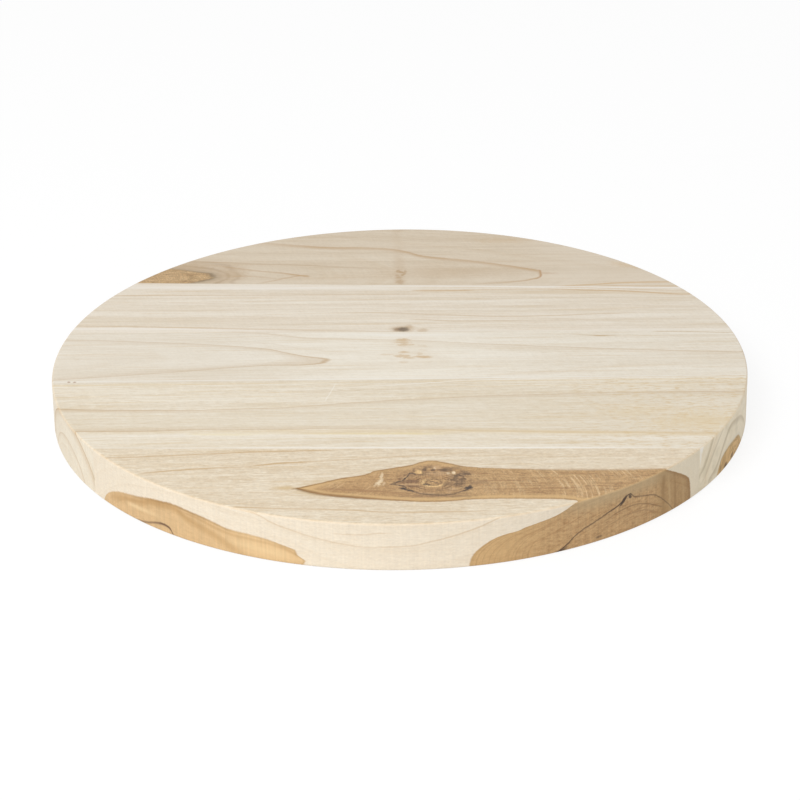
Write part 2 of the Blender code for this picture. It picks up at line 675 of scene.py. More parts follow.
@dataclass
class Grain:
    """The fields that a stave's wood is painted with.

    The rings drift from even spacing, their late wood ends short of the next ring, and the faintest still
    shows a little. The top is sanded at a lean, and the rim keeps upright marks from its turning.
    """

    RING_DRIFT = 0.9
    LATE_END = 0.9
    FAINTEST_RING = 0.15
    SANDING_LEAN = 0.3
    SANDING_SHARE = 0.45
    SANDING_CELL = (1.5, 13.0)
    TURNING_CELL = (1.3, 24.0)

    space: WoodSpace
    reach: Field
    steep: Field
    streaks: Field
    threads: Field
    bands: Field
    dashes: Field
    fine: Field
    pores: Field
    clouds: Field
    rings: Field
    tooling: Field

    @classmethod
    def of(cls, space: WoodSpace, log: Log, ring_width: float, seed: float) -> "Grain":
        """Work out the fields.

        Args:
            space: the wood's coordinates.
            log: how the plank lay in its log.
            ring_width: the usual width of its growth rings.
            seed: a number that makes this plank's noise its own.

        Returns:
            The fields.
        """
        bench = space.bench
        x, y, z = space.x, space.y, space.z
        reach, turn, steep = log.rings(space)

        def ringed(cell: Cell, detail: float, roughness: float) -> Field:
            """Noise whose cells follow the growth rings."""
            return bench.noise(x / cell[0] + seed, reach / cell[1], turn / cell[2], detail, roughness)

        streaks = ringed(STREAK_CELL, detail=3.0, roughness=0.6)
        threads = space.noise(THREAD_CELL, seed, roughness=0.65)
        bands = space.noise(BAND_CELL, seed)
        dashes = space.noise(DASH_CELL, seed, detail=3.0, roughness=0.65)
        fine = space.noise(FINE_CELL, seed, detail=1.0)
        clouds = ringed(CLOUD_CELL, detail=2.0, roughness=0.5)
        pores = space.noise(PORE_CELL, seed, detail=1.0).eased(0.20, 0.55)
        phase = reach / ring_width + clouds * cls.RING_DRIFT
        year = bench.math("FLOOR", phase)
        share = phase - year
        late = share * share * share * share.eased(1.0, cls.LATE_END)
        rings = late * (bench.lot(year) * (1.0 - cls.FAINTEST_RING) + cls.FAINTEST_RING)
        leaning = (x + y * cls.SANDING_LEAN) / cls.SANDING_CELL[0]
        sanded = bench.noise(leaning, y / cls.SANDING_CELL[1], seed, detail=1.0) * space.on_top
        way_round = space.way_round / cls.TURNING_CELL[0]
        turned = bench.noise(way_round, z / cls.TURNING_CELL[1], seed, detail=1.0) * space.on_rim
        tooling = sanded * cls.SANDING_SHARE + turned
        return cls(space, reach, steep, streaks, threads, bands, dashes, fine, pores, clouds, rings, tooling)


@dataclass(frozen=True)
class Heartwood:
    """The brown wood's colours and its figure: fibres, dark pores, fine speckle and light cross flecks.

    The flecks' lean and strength run over X. They curve from their lean at `fleck_top` to upright below it.
    """

    ground: Colour = Colour(190, 155, 111)
    dark: Colour = Colour(158, 120, 80)
    light: Colour = Colour(214, 180, 132)
    pore: Colour = Colour(122, 90, 58)
    fleck: Colour = Colour(232, 204, 160)
    dark_fibres: float = 0.70
    light_fibres: float = 0.50
    dark_dashes: float = 0.48
    light_dashes: float = 0.42
    rim_streaks: float = 0.55
    fleck_depth: float = 0.62
    tooling_depth: float = 0.22
    speckle_depth: float = 0.42
    rim_calm: float = 0.55
    fibre_cell: Cell = (30.0, 2.0, 1.5)
    dash_cell: Cell = (6.0, 1.6, 1.1)
    fleck_cell: Cell = (1.5, 28.0, 28.0)
    fleck_top: float = -158.0
    fleck_curl: float = 0.0075
    fleck_lean: tuple[Place, ...] = ((-60, -0.6), (0, 0), (70, 0.5))
    fleck_strength: tuple[Place, ...] = (
        (-64, 0), (-40, 0.6), (-28, 0.7), (-14, 0.3), (0, 0), (48, 0.3), (80, 0.65), (104, 1), (142, 1),
        (150, 0.6), (162, 0.3))

    def tone(self, grain: "Grain", fibre_y: Field) -> Tone:
        """The heartwood's colour.

        Args:
            grain: the stave's grain.
            fibre_y: Y as the fibres follow it, in millimetres.

        Returns:
            The colour.
        """
        space = grain.space
        bench = space.bench
        x, y, z = space.x, space.y, space.z
        calm = 1.0 - space.on_rim * self.rim_calm

        def noise(along: Field, across: Field, cell: Cell, detail: float, roughness: float = 0.5) -> Field:
            """Noise over two coordinates of its own and the height, in cells of its own size."""
            return bench.noise(along / cell[0], across / cell[1], z / cell[2], detail, roughness)

        fibres = noise(x, fibre_y, self.fibre_cell, detail=3.0, roughness=0.65)
        dashes = noise(x, fibre_y, self.dash_cell, detail=2.0, roughness=0.6) * calm
        speckle = space.noise(SPECKLE_CELL, detail=1.0) * calm
        back = y - self.fleck_top
        across = x + back * bench.curve(x, self.fleck_lean) + back * back * self.fleck_curl
        flecks = noise(across, y, self.fleck_cell, detail=1.0).eased(0.0, 0.34)
        patches = space.noise(PATCH_CELL, detail=1.0).eased(-0.30, 0.15)
        shown = bench.strength(x, self.fleck_strength) * space.on_top
        tone = bench.flat(self.ground)
        tone = tone.toward(self.dark, fibres.eased(-0.05, 0.45) * self.dark_fibres)
        tone = tone.toward(self.light, fibres.eased(0.0, -0.45) * self.light_fibres)
        tone = tone.toward(self.pore, dashes.eased(0.05, 0.42) * self.dark_dashes)
        tone = tone.toward(self.light, dashes.eased(-0.06, -0.42) * self.light_dashes)
        tone = tone.toward(self.dark, grain.streaks.eased(0.05, 0.40) * space.on_rim * self.rim_streaks)
        tone = tone.toward(self.fleck, flecks * patches * shown * self.fleck_depth)
        return tone.scaled(1.0 + grain.tooling * self.tooling_depth + speckle * self.speckle_depth)


@dataclass(frozen=True)
class Drawing:
    """Marks and spots of one colour, drawn over the wood."""

    colour: Colour
    marks: tuple[Mark | Spot, ...]

    def over(self, space: WoodSpace, tone: Tone) -> Tone:
        """Draw them.

        Args:
            space: the wood's coordinates.
            tone: the wood's colour so far.

        Returns:
            The colour with the marks, the strongest of them at each point.
        """
        amount = self.marks[0].amount(space)
        for mark in self.marks[1:]:
            amount = amount.most(mark.amount(space))
        return tone.toward(self.colour, amount)


@dataclass(frozen=True)
class ArrisHighlight:
    """A painted highlight: a thin pale, faintly warm line along the eased upper arris."""

    highlight_lift: float = 1.03
    highlight_tint: Wash = Wash(Colour(236, 200, 148), 0.22)
    strength: float = 0.6
    inset: Place = (1.1, 0.7)
    depth: Place = (1.3, 0.9)

    def over(self, space: WoodSpace, tone: Tone) -> Tone:
        """Draw it.

        Args:
            space: the wood's coordinates.
            tone: the wood's colour.

        Returns:
            The colour, a little lighter on the upper arris: a painted highlight.
        """
        outer = space.from_axis.eased(*(BOARD_RADIUS - inset for inset in self.inset))
        high = space.z.eased(*(BOARD_THICKNESS - depth for depth in self.depth))
        # painted highlight: the upper arris is lightened and warmed as if lit
        return tone.toward(tone.scaled(self.highlight_lift).washed(self.highlight_tint), outer * high * self.strength)


@dataclass(frozen=True)
class SandedFinish:
    """The bare sanded surface: nearly matt, duller on its streaks, with pores a hair deep."""

    roughness: float = 0.60
    streak_roughness: float = 0.10
    pore_gloss: float = 0.06
    specular: float = 0.30
    bump: float = 0.5
    streak_height: float = 0.012
    pore_depth: float = 0.02

    def shader(self, grain: Grain, tone: Tone) -> bpy.types.Node:
        """Make the shader that shows the wood.

        Args:
            grain: the stave's grain.
            tone: the stave's colour.

        Returns:
            The shader's node.
        """
        bench = grain.space.bench
        shader = bench.node("ShaderNodeBsdfPrincipled")
        bench.feed(shader.inputs["Base Color"], tone)
        dullness = self.roughness + grain.streaks * self.streak_roughness - grain.pores * self.pore_gloss
        bench.feed(shader.inputs["Roughness"], dullness)
        shader.inputs["Specular IOR Level"].default_value = self.specular
        bump = bench.node("ShaderNodeBump")
        bump.inputs["Strength"].default_value = self.bump
        bump.inputs["Distance"].default_value = MILLIMETRE
        relief = grain.streaks * self.streak_height - grain.pores * self.pore_depth
        bench.feed(bump.inputs["Height"], relief)
        bench.tree.links.new(bump.outputs[0], shader.inputs["Normal"])
        return shader


@dataclass(frozen=True)
class Joint:
    """A glue joint: where it crosses the middle line, its skew in degrees, and its wood-to-wood seam."""

    middle: float
    skew: float
    seam: float = 0.05

    def split(self, keep_front: bool) -> None:
        """Cut the mesh in edit mode along the joint, and close the cut.

        Args:
            keep_front: whether the part in front of the joint stays, or the part behind it.
        """
        skew = math.radians(self.skew)
        square = Vector((-math.sin(skew), math.cos(skew), 0.0))
        half_seam = -self.seam / 2 if keep_front else self.seam / 2
        on_plane = (Vector((0.0, self.middle, 0.0)) + square * half_seam) * MILLIMETRE
        bpy.ops.mesh.select_all(action="SELECT")
        bpy.ops.mesh.bisect(plane_co=on_plane, plane_no=square, use_fill=True,
                            clear_outer=keep_front, clear_inner=not keep_front)


REAR_JOINT = Joint(middle=125.0, skew=-2.6)
REAR_INNER_JOINT = Joint(middle=47.0, skew=-1.0)
FRONT_INNER_JOINT = Joint(middle=-27.0, skew=0.25)
FRONT_JOINT = Joint(middle=-126.2, skew=-1.35)


@dataclass(frozen=True)
class Stave:
    """One stave of the board, turned and split from the round, with its own wood."""

    name: str
    log: Log
    rear: Joint | None = None
    front: Joint | None = None
    seed: float = 0.0
    sapwood: Sapwood = Sapwood()
    ring_colour: Colour = Colour(192, 162, 122)
    ring_lines: tuple[RingLine, ...] = ()
    drawings: tuple[Drawing, ...] = ()
    # the painted highlight along the upper arris
    arris: ArrisHighlight = ArrisHighlight()
    finish: SandedFinish = SandedFinish()
    smooth_angle: float = math.radians(30)

    def build(self, blank: bpy.types.Object) -> bpy.types.Object:
        """Cut the stave out of a copy of the turned blank.

        Args:
            blank: the whole round, which is left as it is.

        Returns:
            The stave.
        """
        deselect_all()
        blank.select_set(True)
        bpy.context.view_layer.objects.active = blank
        bpy.ops.object.duplicate(linked=False)
        stave = bpy.context.object
        stave.name = self.name + "_wood"
        stave.data.name = stave.name
        bpy.ops.object.mode_set(mode="EDIT")
        if self.rear:
            self.rear.split(keep_front=True)
        if self.front:
            self.front.split(keep_front=False)
        bpy.ops.mesh.select_all(action="SELECT")
        bpy.ops.mesh.normals_make_consistent(inside=False)
        bpy.ops.object.mode_set(mode="OBJECT")
        bpy.ops.object.shade_smooth_by_angle(angle=self.smooth_angle)
        return stave

    def dress(self, stave: bpy.types.Object) -> None:
        """Give the stave its wood.

        Args:
            stave: the stave's mesh.
        """
        material = bpy.data.materials.new(self.name + "_wood")
        bench = Bench(material)
        grain = Grain.of(WoodSpace(bench), self.log, self.sapwood.ring_width, self.seed)
        tone = self.features(grain, self.pale_wood(grain))
        for drawing in self.drawings:
            tone = drawing.over(grain.space, tone)
        # paint a highlight along the upper arris
        tone = self.arris.over(grain.space, tone)
        shader = self.finish.shader(grain, tone)
        output = bench.node("ShaderNodeOutputMaterial")
        bench.tree.links.new(shader.outputs[0], output.inputs[0])
        stave.data.materials.clear()
        stave.data.materials.append(material)

    def pale_wood(self, grain: Grain) -> Tone:
        """The sapwood's colour before any feature of its own.

        Args:
            grain: the stave's grain.

        Returns:
            The colour.
        """
        wood = self.sapwood
        show = 1.0 - grain.space.on_rim * wood.rim_calm
        tone = grain.space.bench.flat(wood.ground)
        for drift, depth in ((grain.clouds, wood.cloud_depth), (grain.bands, wood.band_depth),
                             (grain.streaks, wood.streak_depth)):
            tone = tone.toward(wood.shade, drift * show * depth)
            tone = tone.toward(wood.glow, drift * show * -depth)
        tone = tone.toward(wood.line, grain.rings * wood.ring_depth)
        tone = tone.toward(wood.thread, grain.threads.eased(0.06, 0.45) * show * wood.thread_depth)
        tone = tone.toward(wood.glow, grain.threads.eased(-0.06, -0.45) * show * wood.thread_depth)
        tone = tone.toward(wood.shade, grain.dashes.eased(0.02, 0.40) * show * wood.dash_depth)
        tone = tone.toward(wood.glow, grain.dashes.eased(-0.02, -0.40) * show * wood.dash_depth)
        tone = tone.toward(wood.line, grain.pores * wood.pore_depth)
        for line in self.ring_lines:
            tone = tone.toward(self.ring_colour, line.amount(grain))
        return tone.scaled(1.0 + grain.tooling * wood.tooling_depth + grain.fine * wood.fine_depth)

    def features(self, grain: Grain, tone: Tone) -> Tone:
        """What this stave has of its own besides its drawings. A plain stave has nothing."""
        return tone


@dataclass(frozen=True)
class RearStave(Stave):
    """The rear plank: greyish tan, with long pointed arches and a golden heartwood corner at its left.

    The corner's bands, each a middle and half a width, and its step are millimetres outside its outline.
    """

    name: str = "rear_stave"
    log: Log = Log(
        pith_across=((-225, 140), (-82, 142.6), (0, 141), (225, 138)),
        pith_height=(
            (-225, -25), (-169, -27.1), (-145, -28.7), (-126, -29.8), (-98, -32.3), (-82.5, -33.1),
            (-66, -33.4), (-40, -38.5), (0, -47), (97, -59), (225, -73)),
        warp=0.9)
    front: Joint | None = REAR_JOINT
    seed: float = 3.1
    sapwood: Sapwood = Sapwood(
        ground=Colour(217, 202, 180), shade=Colour(194, 174, 145), glow=Colour(228, 217, 199),
        thread=Colour(198, 168, 126), band_depth=0.7, streak_depth=0.26, thread_depth=0.24, dash_depth=0.18)
    heartwood: Heartwood = Heartwood(
        ground=Colour(192, 160, 118), dark=Colour(160, 128, 90), light=Colour(214, 186, 144),
        pore=Colour(134, 106, 76))
    heartwood_radius: float = 60.7
    ragged_edge: float = 0.7
    right_wood: Wash = Wash(Colour(226, 214, 196), 0.40)
    right_step: Place = (70, 130)
    halo: Wash = Wash(Colour(186, 160, 128), 0.50)
    halo_width: float = 22.0
    nested: Colour = Colour(150, 122, 90)
    nested_strength: float = 0.30
    nested_change: float = 0.5
    near_ring: Place = (6, 1.8)
    far_ring: Place = (11.5, 2.2)
    far_ring_share: float = 0.7
    edge_shade: Wash = Wash(Colour(150, 132, 106), 0.35)
    shade_width: float = 5.0
    inner_line: Wash = Wash(Colour(150, 122, 84), 0.45)
    inner_band: Place = (-5, 1.6)
    edge_step: Place = (0.8, -1.2)
    edge_band: Place = (-0.4, 1.9)
    edge_line: Colour = Colour(98, 86, 66)
    edge_strength: float = 0.60
    edge_change: float = 0.7
    edge_along: tuple[Place, ...] = (
        (-172, 0.3), (-160, 0.55), (-152, 0.3), (-143, 0.45), (-136, 0.65), (-131, 0.8), (-124, 1))
    drawings: tuple[Drawing, ...] = (
        Drawing(Colour(186, 158, 122), (
            Mark(((-152, 171, 0), (-138, 170, 0.55), (-100, 165, 0.45), (-72, 162.5, 0.45),
                  (-41, 158, 0.35), (20, 150, 0)), past=0.8, short=3),
            Spot((36, 146), 48, 9, 0.3, softness=0.9, raggedness=0.8),
            Spot((-114, 151), 9, 9, 0.38, softness=0.9, raggedness=1.4),
            Spot((-145, 160), 14, 6, 0.4, tilt=-18, softness=0.9, raggedness=1.6),
        )),
        Drawing(Colour(188, 154, 112), (
            Mark(((-135, 164.5, 0), (-126.2, 162.3, 0.3), (-97.9, 152.6, 0.45), (-82.5, 148.7, 0.55),
                  (-65.7, 142.9, 0.85), (-61, 141.6, 0)), past=1.2, short=3.2, wander=0.4),
            Mark(((-100, 129, 0), (-88.9, 133.2, 0.35), (-75.3, 139.7, 0.45), (-65.7, 142.6, 0.75),
                  (-61, 141.6, 0)), past=2.6, short=1.2, wander=0.4),
            Mark(((-120, 140, 0), (-108, 143, 0.4), (-94, 141, 0.35), (-84, 138, 0)), past=2, short=1.6,
                 wander=0.6),
            Mark(((-140, 206, 0), (-91.1, 200.9, 0.3), (-70, 196.6, 0.5), (-48.4, 192.8, 0.6),
                  (-20.1, 190.6, 0.45), (-2.4, 187.2, 0.55), (5.3, 183.4, 0.6), (18.6, 174.6, 0.7),
                  (45.8, 167.2, 0.5), (70.8, 158.6, 0.6), (84.5, 153, 0.65), (94, 148.8, 0.7),
                  (98, 146.5, 0)), past=1.6, short=6, wander=0.7, fray=0.8),
            Mark(((48, 124.4, 0), (69.7, 126.8, 0.4), (83.5, 128.9, 0.55), (93.3, 132.8, 0.7),
                  (97, 135.5, 0)), past=3, short=1.3, wander=0.4),
        )),
        Drawing(Colour(184, 144, 102), (
            Mark(((131.5, 93, 0), (134, 96, 0.6), (138.2, 98.2, 0.85), (142.4, 98, 0.8), (146.5, 98.2, 0.8),
                  (149, 95.5, 0)), past=1.4, short=2, wander=0.3, fray=0.8, chart=Chart.ACROSS_TOP),
            Mark(((97, 143, 0), (101, 142.6, 0.35), (112, 142, 0)), past=2, short=2.4),
        )),
        Drawing(Colour(204, 168, 116), (
            Mark(((106, 119.6, 0), (120, 121, 0.55), (133, 122.2, 0.65), (151, 124.5, 0.7),
                  (166, 125.1, 0.7), (186, 125, 0.6)), past=1.5, short=2.2, wander=0.3),
            Mark(((134, 119.6, 0), (145, 119.5, 0.6), (172, 118.4, 0.65), (188, 117.9, 0.7)), past=1,
                 short=1.4, wander=0.3),
            Spot((74, 202), 16, 4, 0.24, softness=0.9, raggedness=1.6),
            Spot((158, 154.6), 9, 3, 0.34, tilt=-25, softness=0.9, raggedness=1.6),
        )),
        Drawing(Colour(176, 142, 100), (
            Spot((-0.6, 149), 1.4, 2, 0.6, softness=0.6, raggedness=1.2),
            Spot((1.8, 147), 3.4, 1.3, 0.7, tilt=-38, raggedness=0.9),
            Spot((4.6, 147.6), 1, 2.4, 0.5, softness=0.6, raggedness=1),
            Spot((3.4, 143), 2.6, 1.2, 0.6, tilt=55, raggedness=0.9),
            Spot((-0.8, 141.6), 1.6, 1.4, 0.45, softness=0.6, raggedness=1.2),
            Spot((0.2, 137.8), 2.2, 2, 0.45, softness=0.6, raggedness=1.4),
            Spot((0.8, 130.6), 2.4, 3.8, 0.42, softness=0.6, raggedness=1.4),
        )),
        Drawing(Colour(184, 154, 116), (
            Mark(((126, 1, 0.25), (160, 1, 0.22), (190, 0, 0.1), (212, 0, 0.1), (224, 0, 0.25)), past=6,
                 short=6, wander=4, chart=Chart.ACROSS_TOP),
        )),
    )

    def features(self, grain: Grain, tone: Tone) -> Tone:
        """The golden corner with its dark edge and grey halo.

        Args:
            grain: the stave's grain.
            tone: the pale wood's colour.

        Returns:
            The colour with the corner.
        """
        space = grain.space
        tone = tone.washed(self.right_wood, space.x.eased(*self.right_step))
        outside = (grain.reach - self.heartwood_radius) / grain.steep + space.ragged * self.ragged_edge
        tone = tone.washed(self.halo, outside.eased(self.halo_width, 0.0))
        nested = outside.near(*self.near_ring).most(outside.near(*self.far_ring) * self.far_ring_share)
        tone = tone.toward(self.nested, nested * (self.nested_strength + space.wobble * self.nested_change))
        tone = tone.washed(self.edge_shade, outside.eased(self.shade_width, 0.0))
        wood = self.heartwood.tone(grain, space.y)
        wood = wood.washed(self.inner_line, outside.near(*self.inner_band))
        tone = tone.toward(wood, outside.eased(*self.edge_step))
        edge = outside.near(*self.edge_band) * space.bench.strength(space.x, self.edge_along)
        return tone.toward(self.edge_line, edge * (self.edge_strength + space.wobble * self.edge_change))


@dataclass(frozen=True)
class RearInnerStave(Stave):
    """The second plank: pale, with straight fine lines and one dark spot at its front joint."""

    name: str = "rear_inner_stave"
    log: Log = Log(pith_across=((-225, -20), (225, -34)), pith_height=((-225, -44), (225, -52)))
    rear: Joint | None = REAR_JOINT
    front: Joint | None = REAR_INNER_JOINT
    seed: float = 11.7
    sapwood: Sapwood = Sapwood(
        ground=Colour(229, 218, 201), ring_width=9, band_depth=0.85, streak_depth=0.22, thread_depth=0.26,
        dash_depth=0.18)
    drawings: tuple[Drawing, ...] = (
        Drawing(Colour(212, 190, 156), (
            Mark(((60, 110, 0), (100, 109, 0.45), (190, 106, 0.5)), past=5, short=4),
        )),
        Drawing(Colour(238, 231, 220), (
            Mark(((-225, 58, 0.9), (-169, 57, 0.8), (-110, 53, 0.6), (-60, 50.5, 0)), past=2, short=4),
            Mark(((-190, 126, 0.6), (-100, 122.5, 0.75), (-20, 119.5, 0.6), (20, 118.5, 0)), past=8,
                 short=5),
            Mark(((-30, 124.6, 0), (0, 123.6, 0.9), (190, 115, 0.9)), past=1.6, short=2, wander=0.2),
            Mark(((-40, 50, 0), (0, 49, 0.4), (225, 45, 0.4)), past=2.4, short=2, wander=0.3),
        )),
        Drawing(Colour(194, 164, 122), (
            Mark(((-200, 112.5, 0), (-185, 112.2, 0.55), (-90, 110.6, 0.4), (0, 109, 0.35), (30, 108.5, 0)),
                 past=0.8, short=2),
            Mark(((-60, 80.5, 0), (-16, 78.7, 0.38), (34, 73.9, 0.42), (82, 70.5, 0.5), (135, 73, 0.5),
                  (160, 74, 0)), past=1, short=1.7),
            Mark(((5, 67, 0), (20, 66.1, 0.6), (34, 64.1, 0.6), (66, 63.4, 0.5), (90, 63, 0)), past=0.9,
                 short=1.5, wander=0.3),
            Mark(((-225, 62.9, 0.5), (-169, 59.4, 0.5), (-90, 53.2, 0.4), (-20, 48.6, 0.3), (10, 46.5, 0)),
                 past=2.4, short=0.8),
        )),
        Drawing(Colour(200, 165, 118), (
            Mark(((8, 115.6, 0), (19, 115.3, 0.75), (44, 114.9, 0.8), (54, 115.4, 0.4), (66, 115.6, 0.4),
                  (103, 115.3, 0.5), (124, 113.2, 0.75), (155, 110.2, 0.8), (181, 105.8, 0.75),
                  (192, 104, 0.6)), past=1.3, short=2, wander=0.4),
            Mark(((104, 118.4, 0), (118, 117.6, 0.45), (150, 114.6, 0.5), (172, 112, 0.45),
                  (188, 110, 0.3)), past=0.9, short=1.4, wander=0.4),
        )),
        Drawing(Colour(190, 160, 120), (
            Spot((15.4, 49), 3.8, 2.8, 0.5, softness=0.6, raggedness=0.8),
            Spot((6, 54.2), 3.2, 3.6, 0.65, softness=0.7, raggedness=0.5),
            Spot((2.2, 51.6), 6.6, 5, 0.65, softness=0.8, raggedness=0.5),
        )),
        Drawing(Colour(138, 108, 78), (
            Spot((-0.4, 51), 3.6, 3, 0.7, softness=0.6, raggedness=0.4),
        )),
        Drawing(Colour(114, 100, 82), (
            Spot((3, 51.1), 3.5, 3.3, 0.85, softness=0.5, raggedness=0.3),
        )),
    )


@dataclass(frozen=True)
class MiddleStave(Stave):
    """The middle plank: pale and flat-sawn, with one long arch from the left."""

    name: str = "middle_stave"
    log: Log = Log(
        pith_across=((-225, 9), (-112, 10.5), (-75, 6.4), (-45, 2.6), (225, 2)),
        pith_height=(
            (-225, -28.75), (-135, -33.15), (-90, -35.2), (-67, -36.1), (-47, -36.5), (0, -37.9),
            (67, -41.3), (135, -43.5), (225, -44.6)),
        warp=0.3, wobble=0.15)
    rear: Joint | None = REAR_INNER_JOINT
    front: Joint | None = FRONT_INNER_JOINT
    seed: float = 23.9
    sapwood: Sapwood = Sapwood(
        ground=Colour(233, 225, 210), band_depth=0.6, streak_depth=0.26, thread_depth=0.28, dash_depth=0.22)
    ring_lines: tuple[RingLine, ...] = (
        RingLine(67.5, ((-225, 0.55), (-112, 0.6), (-47, 0.9), (-30, 0))),
        RingLine(76, ((-170, 0.3), (0, 0.5), (225, 0.5)), shade_share=0.25, fades_before=0),
    )
    drawings: tuple[Drawing, ...] = (
        Drawing(Colour(240, 236, 227), (
            Mark(((-60, 44, 0), (-20, 43.5, 0.5), (0, 42, 0.7), (20, 42, 0.45), (60, 41, 0.2),
                  (120, 40, 0)), past=3.4, short=4, wander=1.2),
            Mark(((-225, -24.6, 0.5), (-100, -24.9, 0.7), (60, -25.4, 0.6), (225, -25.6, 0.5)), past=1.2,
                 short=1.6, wander=0.3),
        )),
        Drawing(Colour(200, 166, 118), (
            Spot((2.6, 34.4), 4.4, 2, 0.7, softness=0.6, raggedness=1),
            Spot((1.4, 30.4), 5.4, 1.8, 0.55, softness=0.6, raggedness=1.2),
            Spot((3.4, 26.6), 5, 1.8, 0.55, softness=0.6, raggedness=1.2),
            Spot((3.4, 14.8), 3.4, 1.7, 0.6, softness=0.6, raggedness=1.2),
            Spot((2.4, 9.2), 5, 2.1, 0.6, softness=0.6, raggedness=1.2),
            Spot((5.8, 6.6), 4.4, 1.9, 0.55, softness=0.6, raggedness=1.2),
            Spot((2.2, -0.6), 2.8, 1.6, 0.3, softness=0.7, raggedness=1.2),
            Spot((15.8, 7.4), 5.4, 1.9, 0.7, tilt=-6, raggedness=1),
            Spot((13.4, 11.8), 1.6, 2.6, 0.3, raggedness=1.4),
            Spot((-8, 11.4), 4, 1.3, 0.3, raggedness=1.4),
            Spot((15.6, 24.4), 3.4, 2, 0.24, raggedness=1.8),
            Spot((15.1, 18.2), 2.6, 1.6, 0.2, raggedness=1.8),
            Spot((8, 20), 12, 18, 0.1, softness=0.9, raggedness=0.6),
        )),
        Drawing(Colour(190, 160, 116), (
            Mark(((112, 40.6, 0), (118, 39.8, 0.25), (127, 38.4, 0.45), (132, 37.8, 0.9), (139, 37.7, 0.55),
                  (147, 38.4, 0)), past=1.2, short=1.8, wander=0.2),
            Mark(((166, 43.5, 0), (176, 43.2, 0.5), (214, 40.5, 0.5)), past=1, short=1.4, wander=0.2),
        )),
        Drawing(Colour(156, 112, 76), (
            Spot((-212.6, -25.4), 1, 1, 0.65, raggedness=0.8),
            Spot((-209, -25.6), 1, 1, 0.6, raggedness=0.8),
        )),
    )

    left_wood: Wash = Wash(Colour(216, 204, 186), 0.25)
    left_step: Place = (-50, -130)
    middle_wood: Wash = Wash(Colour(244, 238, 224), 0.25)
    middle_band: Place = (0, 110)

    def features(self, grain: Grain, tone: Tone) -> Tone:
        """The greyer wood at the left, and the lighter wood in the middle."""
        x = grain.space.x
        tone = tone.washed(self.left_wood, x.eased(*self.left_step))
        return tone.washed(self.middle_wood, x.near(*self.middle_band))


